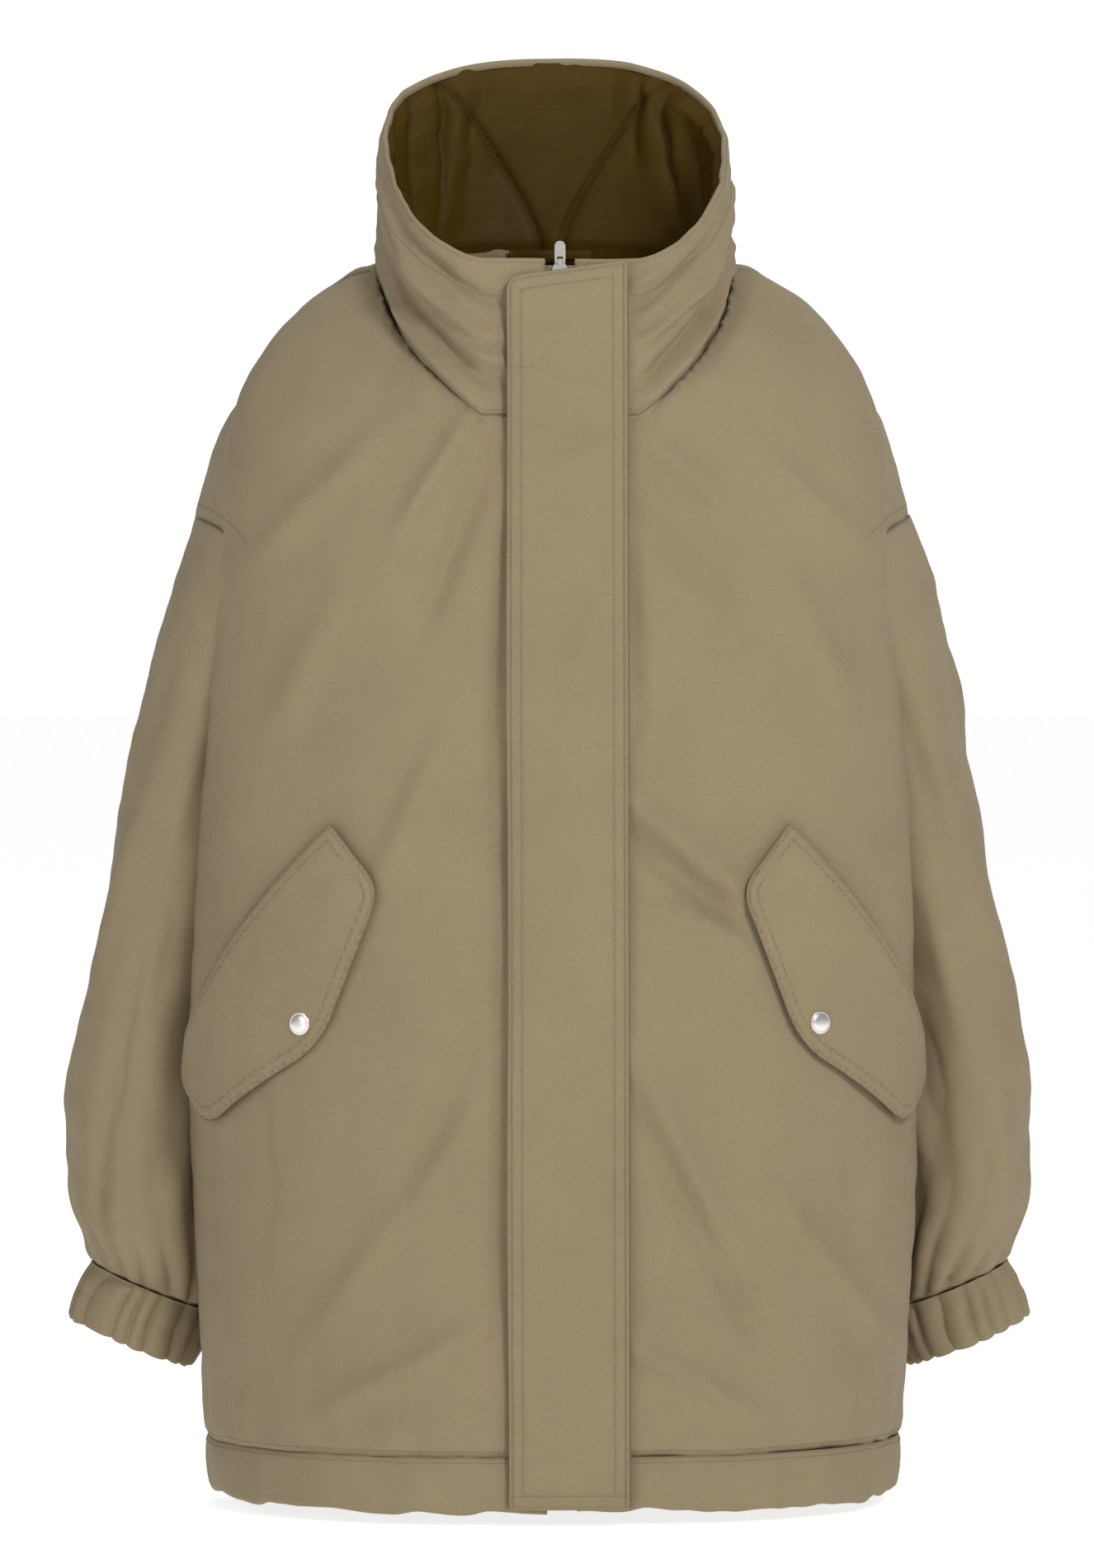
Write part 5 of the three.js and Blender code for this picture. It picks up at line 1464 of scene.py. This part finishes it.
jacketLines = [collarAt(0.77), collarAt(0.035), collarAt(0.985)]
for z, panels in ((body["hemBand"] + 2.6, (rightFront, back, leftFront)),
                  (body["hemBand"] - 3.0, (hemBand,))):
    for panel in panels:
        path = bodyRow(z)
        behind = behindSeams(path) > 0
        wanted = np.ones(len(path), bool) if panel is hemBand else (behind if panel is back else ~behind)
        if panel is rightFront:
            wanted &= path[:, 0] < 0
        if panel is leftFront:
            wanted &= path[:, 0] > 0
        jacketLines.append(layOn(panel, path[wanted]))
for side, panel in ((-1, rightFront), (1, leftFront)):  # just in front of each shoulder seam
    t = np.linspace(0, 1, 60)
    x = side * (neck["half"] + 6 + (sleeveStops[armholeStop][0] + 30 - neck["half"]) * t)
    y = np.interp(np.abs(x), [neck["half"] + 10, 246], [body["seamNeck"], body["seamSide"]]) - 4
    z = np.interp(t, [0, 0.35, 1], [826, 800, 706])
    jacketLines.append(layOn(panel, np.stack([x, y, z], -1), 0.15))
for side in (-1, 1):  # on the body side of each armhole
    angle = np.linspace(-2.4, 2.4, 140)
    ring = sleeveRing(np.array(armholeStop - 0.09), angle, side, 2)
    for panel in (rightFront if side < 0 else leftFront, back):
        behind = behindSeams(ring) > 0
        keep = ring[behind if panel is back else ~behind]
        if len(keep) > 4:
            jacketLines.append(layOn(panel, keep))
jacketStitches = laidPieces("jacketStitches", [l for l in jacketLines if len(l) > 3], stitchTree, stitchIds,
                            threadCloth, **stitchSizes)
flapStitches = laidPieces("stormFlapStitches", flapRows(), stitchTree, stitchIds, threadCloth, **stitchSizes)
pocketStitches = {s: laidPieces(s + "PocketStitches", pocketRows(k, pocketFlaps[s]), stitchTree, stitchIds,
                                threadCloth, **stitchSizes) for s, k in (("right", -1), ("left", 1))}
teethSizes = {"Pitch": zipper["pitch"] / 1000, "Length": 0.0021, "Thickness": 0.0015, "Height": 0.0015,
              "Unevenness": 0.0}
teeth = {}
for s, k in (("right", -1), ("left", 1)):
    z = np.linspace(zipper["teethFoot"] + 1 + (0 if k < 0 else zipper["pitch"] / 2), zipper["top"] - 1, 4)
    middle = (zipper["teethInner"] + zipper["teethOuter"]) / 2
    line = frontPlane(0 * z + k * middle, 0 * z + zipper["teethDepth"] + zipper["teethThick"] / 2, z)
    teeth[s] = laidPieces(s + "ZipTeeth", [toRow(line)], toothTree, toothIds, nickel, **teethSizes)
tapes = {s: tapeMesh(k, s + "ZipTape") for s, k in (("right", -1), ("left", 1))}
caps = {s: capMesh(k, s + "PocketSnapCap") for s, k in (("right", -1), ("left", 1))}
hangingLoop = loopMesh()
print("stitches, zip and snaps made")

# walls, finishes and bodies
panels = {"right_front_shell": rightFront, "left_front_shell": leftFront, "back_shell": back}
for cad, piece in panels.items():
    thicken(piece, torso["wall"])
    finishPiece(piece, "jacket", shellCloth, "shell_twill", cad)
liningPanels = splitPanels(liningSolid, ["rightFrontLining", "leftFrontLining", "backLining"], panelLabel)
for cad, piece in zip(("right_front_lining", "left_front_lining", "back_lining"), liningPanels):
    thicken(piece, 1.2)
    finishPiece(piece, "jacket", innerCloth, "quilted_lining", cad)
finishPiece(thicken(collarShell, collar["wall"]), "jacket", shellCloth, "shell_twill", "collar_shell")
finishPiece(thicken(collarLining, 1.0), "jacket", liningCloth, "quilted_lining", "collar_lining")
finishPiece(hemBand, "jacket", shellCloth, "shell_twill", "hem_band")
finishPiece(flapOuter, "storm_flap", flapCloth, "shell_twill", "storm_flap_outer")
finishPiece(flapFacing, "storm_flap", flapCloth, "shell_twill", "storm_flap_facing")
finishPiece(flapStitches, "storm_flap", threadCloth, "shell_twill")
finishPiece(jacketStitches, "jacket", threadCloth, "shell_twill")
finishPiece(hangingLoop, "jacket", innerCloth, "pocketing", "hanging_loop")
for s, k in (("right", -1), ("left", 1)):
    finishPiece(pocketFlaps[s], s + "_pocket_flap", flapCloth, "shell_twill", s + "_pocket_flap")
    finishPiece(pocketStitches[s], s + "_pocket_flap", threadCloth, "shell_twill")
    finishPiece(caps[s], s + "_pocket_flap", nickel, "metal", s + "_pocket_snap_cap")
    finishPiece(pocketBags[s], "jacket", pocketCloth, "pocketing", s + "_pocket_bag")
    finishPiece(teeth[s], "jacket", nickel, "metal", s + "_zip_teeth")
    finishPiece(tapes[s], "jacket", tapeCloth, "zip_tape", s + "_zip_tape")
    thicken(sleeves[s], sleeve["wall"])
    thicken(sleeveLinings[s], 1.2)
    finishPiece(sleeves[s], None, shellCloth, "shell_twill", s + "_sleeve_shell")
    finishPiece(sleeveLinings[s], None, innerCloth, "quilted_lining", s + "_sleeve_lining")
    centre, down = sleeveAt(np.array(float(armholeStop)))[:2]
    for piece in (sleeves[s], sleeveLinings[s]):
        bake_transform(piece)
    finishPiece(cuffs[s], s + "_sleeve", shellCloth, "shell_twill", s + "_cuff")
    finishPiece(elastics[s], s + "_sleeve", elasticCloth, "elastic", s + "_cuff_elastic")


def cutSize(outline):  # width, length and area of a flat pattern given in millimetres
    x, z = np.array(outline, float).T
    area = abs(np.sum(x * np.roll(z, -1) - z * np.roll(x, -1))) / 2
    return (float(np.ptp(x)) / 1000, float(np.ptp(z)) / 1000), float(area) / 1e6


def laidFlat(turn, z):  # a point of the front laid out flat: its length round the body at its own height
    path = frontSurface(np.linspace(0, turn, 80), np.full(80, float(z)), np.zeros(80))[0]
    return float(np.linalg.norm(np.diff(path[:, :2], axis=0), axis=1).sum()), z


(t0, z0), (t1, z1) = pocket["hinge"]
flapOutline = [pocket["hinge"][0], *pocket["free"], pocket["hinge"][1]]
bagOutline = [(t0, z0), (t1, z1), (t1 - 4, z1 - 110), (t0 - 4, z0 - 110)]
flapSize, flapArea = cutSize([laidFlat(t, z) for t, z in flapOutline])
bagSize, bagArea = cutSize([laidFlat(t, z) for t, z in bagOutline])
elastic = {"width": 27, "inset": 5, "stretch": 1.25}
cuffA, cuffB = (float(v) - elastic["inset"] for v in sleeveAt(np.array(len(sleeveStops) - 1.0))[4:6])

metalNodes = [n for n in frame["nodes"] if "snap_" in n or n in (
    "zip_box", "zip_pin", "zip_slider", "zip_pull", "right_zip_top_stop", "left_zip_top_stop")]
for n in metalNodes:
    cad = frame["nodes"][n]
    cad.data.materials.clear()
    cad.data.materials.append(nickel)
strip = frame["nodes"]["storm_flap_seam_strip"]
strip.data.materials.clear()
strip.data.materials.append(shellCloth)
print("pieces ride on their bodies")

# floor, lights and camera
view = {"turn": -2, "lift": 2.5, "away": 8.0, "height": 1.056, "targetX": -0.0055, "targetZ": -0.356}
lamps = {  # place, size in metres and watts
    "key": ((1.5, -3.3, 1.5), 1.1, 84), "fill": ((-2.6, -3.0, 0.4), 2.2, 24),
    "top": ((0.0, -0.4, 3.2), 1.8, 30), "rear": ((0.6, 3.4, 1.6), 2.4, 50),
}


def makeFloor():
    low = float(min(cadLow.z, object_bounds()[0].z)) - 0.004
    mesh = bmesh.new()
    bmesh.ops.create_circle(mesh, cap_ends=True, radius=14, segments=128)
    data = bpy.data.meshes.new("floor")
    mesh.to_mesh(data)
    mesh.free()
    floor = bpy.data.objects.new("floor", data)
    floor.location.z = low
    scene.collection.objects.link(floor)
    material, _, shader, _ = newMaterial("paleFloor", 0.9)
    shader.inputs["Base Color"].default_value = (0.5, 0.5, 0.5, 1)
    shader.inputs["Emission Color"].default_value = (1, 1, 1, 1)
    shader.inputs["Emission Strength"].default_value = 0.8  # evenly pale to its far edge
    floor.data.materials.append(material)


def makeLights():
    world = bpy.data.worlds.new("studio")
    world.use_nodes = True
    tree = world.node_tree
    glow = tree.nodes["Background"]
    glow.inputs["Color"].default_value = (1, 1, 1, 1)
    ray = node(tree, "ShaderNodeLightPath")  # plain white behind, softer as a light
    tree.links.new(math2(tree, "MULTIPLY_ADD", ray.outputs["Is Camera Ray"], 0.70, 0.34),
                   glow.inputs["Strength"])
    scene.world = world
    for name, (at, size, power) in lamps.items():
        lamp = bpy.data.lights.new(name, "AREA")
        lamp.shape = "DISK"
        lamp.size, lamp.energy = size, power
        light = bpy.data.objects.new(name, lamp)
        light.location = at
        light.rotation_mode = "QUATERNION"
        light.rotation_quaternion = (Vector((0, 0, -0.35)) - Vector(at)).to_track_quat("-Z", "Y")
        scene.collection.objects.link(light)


def makeCamera():
    v = view
    data = bpy.data.cameras.new("camera")
    data.sensor_width = 36
    data.lens = 36 * v["away"] / v["height"]
    data.clip_end = 100
    camera = bpy.data.objects.new("camera", data)
    a, e = math.radians(v["turn"]), math.radians(v["lift"])
    back_ = Vector((math.sin(a) * math.cos(e), -math.cos(a) * math.cos(e), math.sin(e)))
    camera.rotation_mode = "QUATERNION"
    camera.rotation_quaternion = (-back_).to_track_quat("-Z", "Y")
    camera.location = Vector((v["targetX"], -0.09, v["targetZ"])) + back_ * v["away"]
    scene.collection.objects.link(camera)
    scene.camera = camera


makeFloor()
makeLights()
makeCamera()
print("camera, lights and floor set")
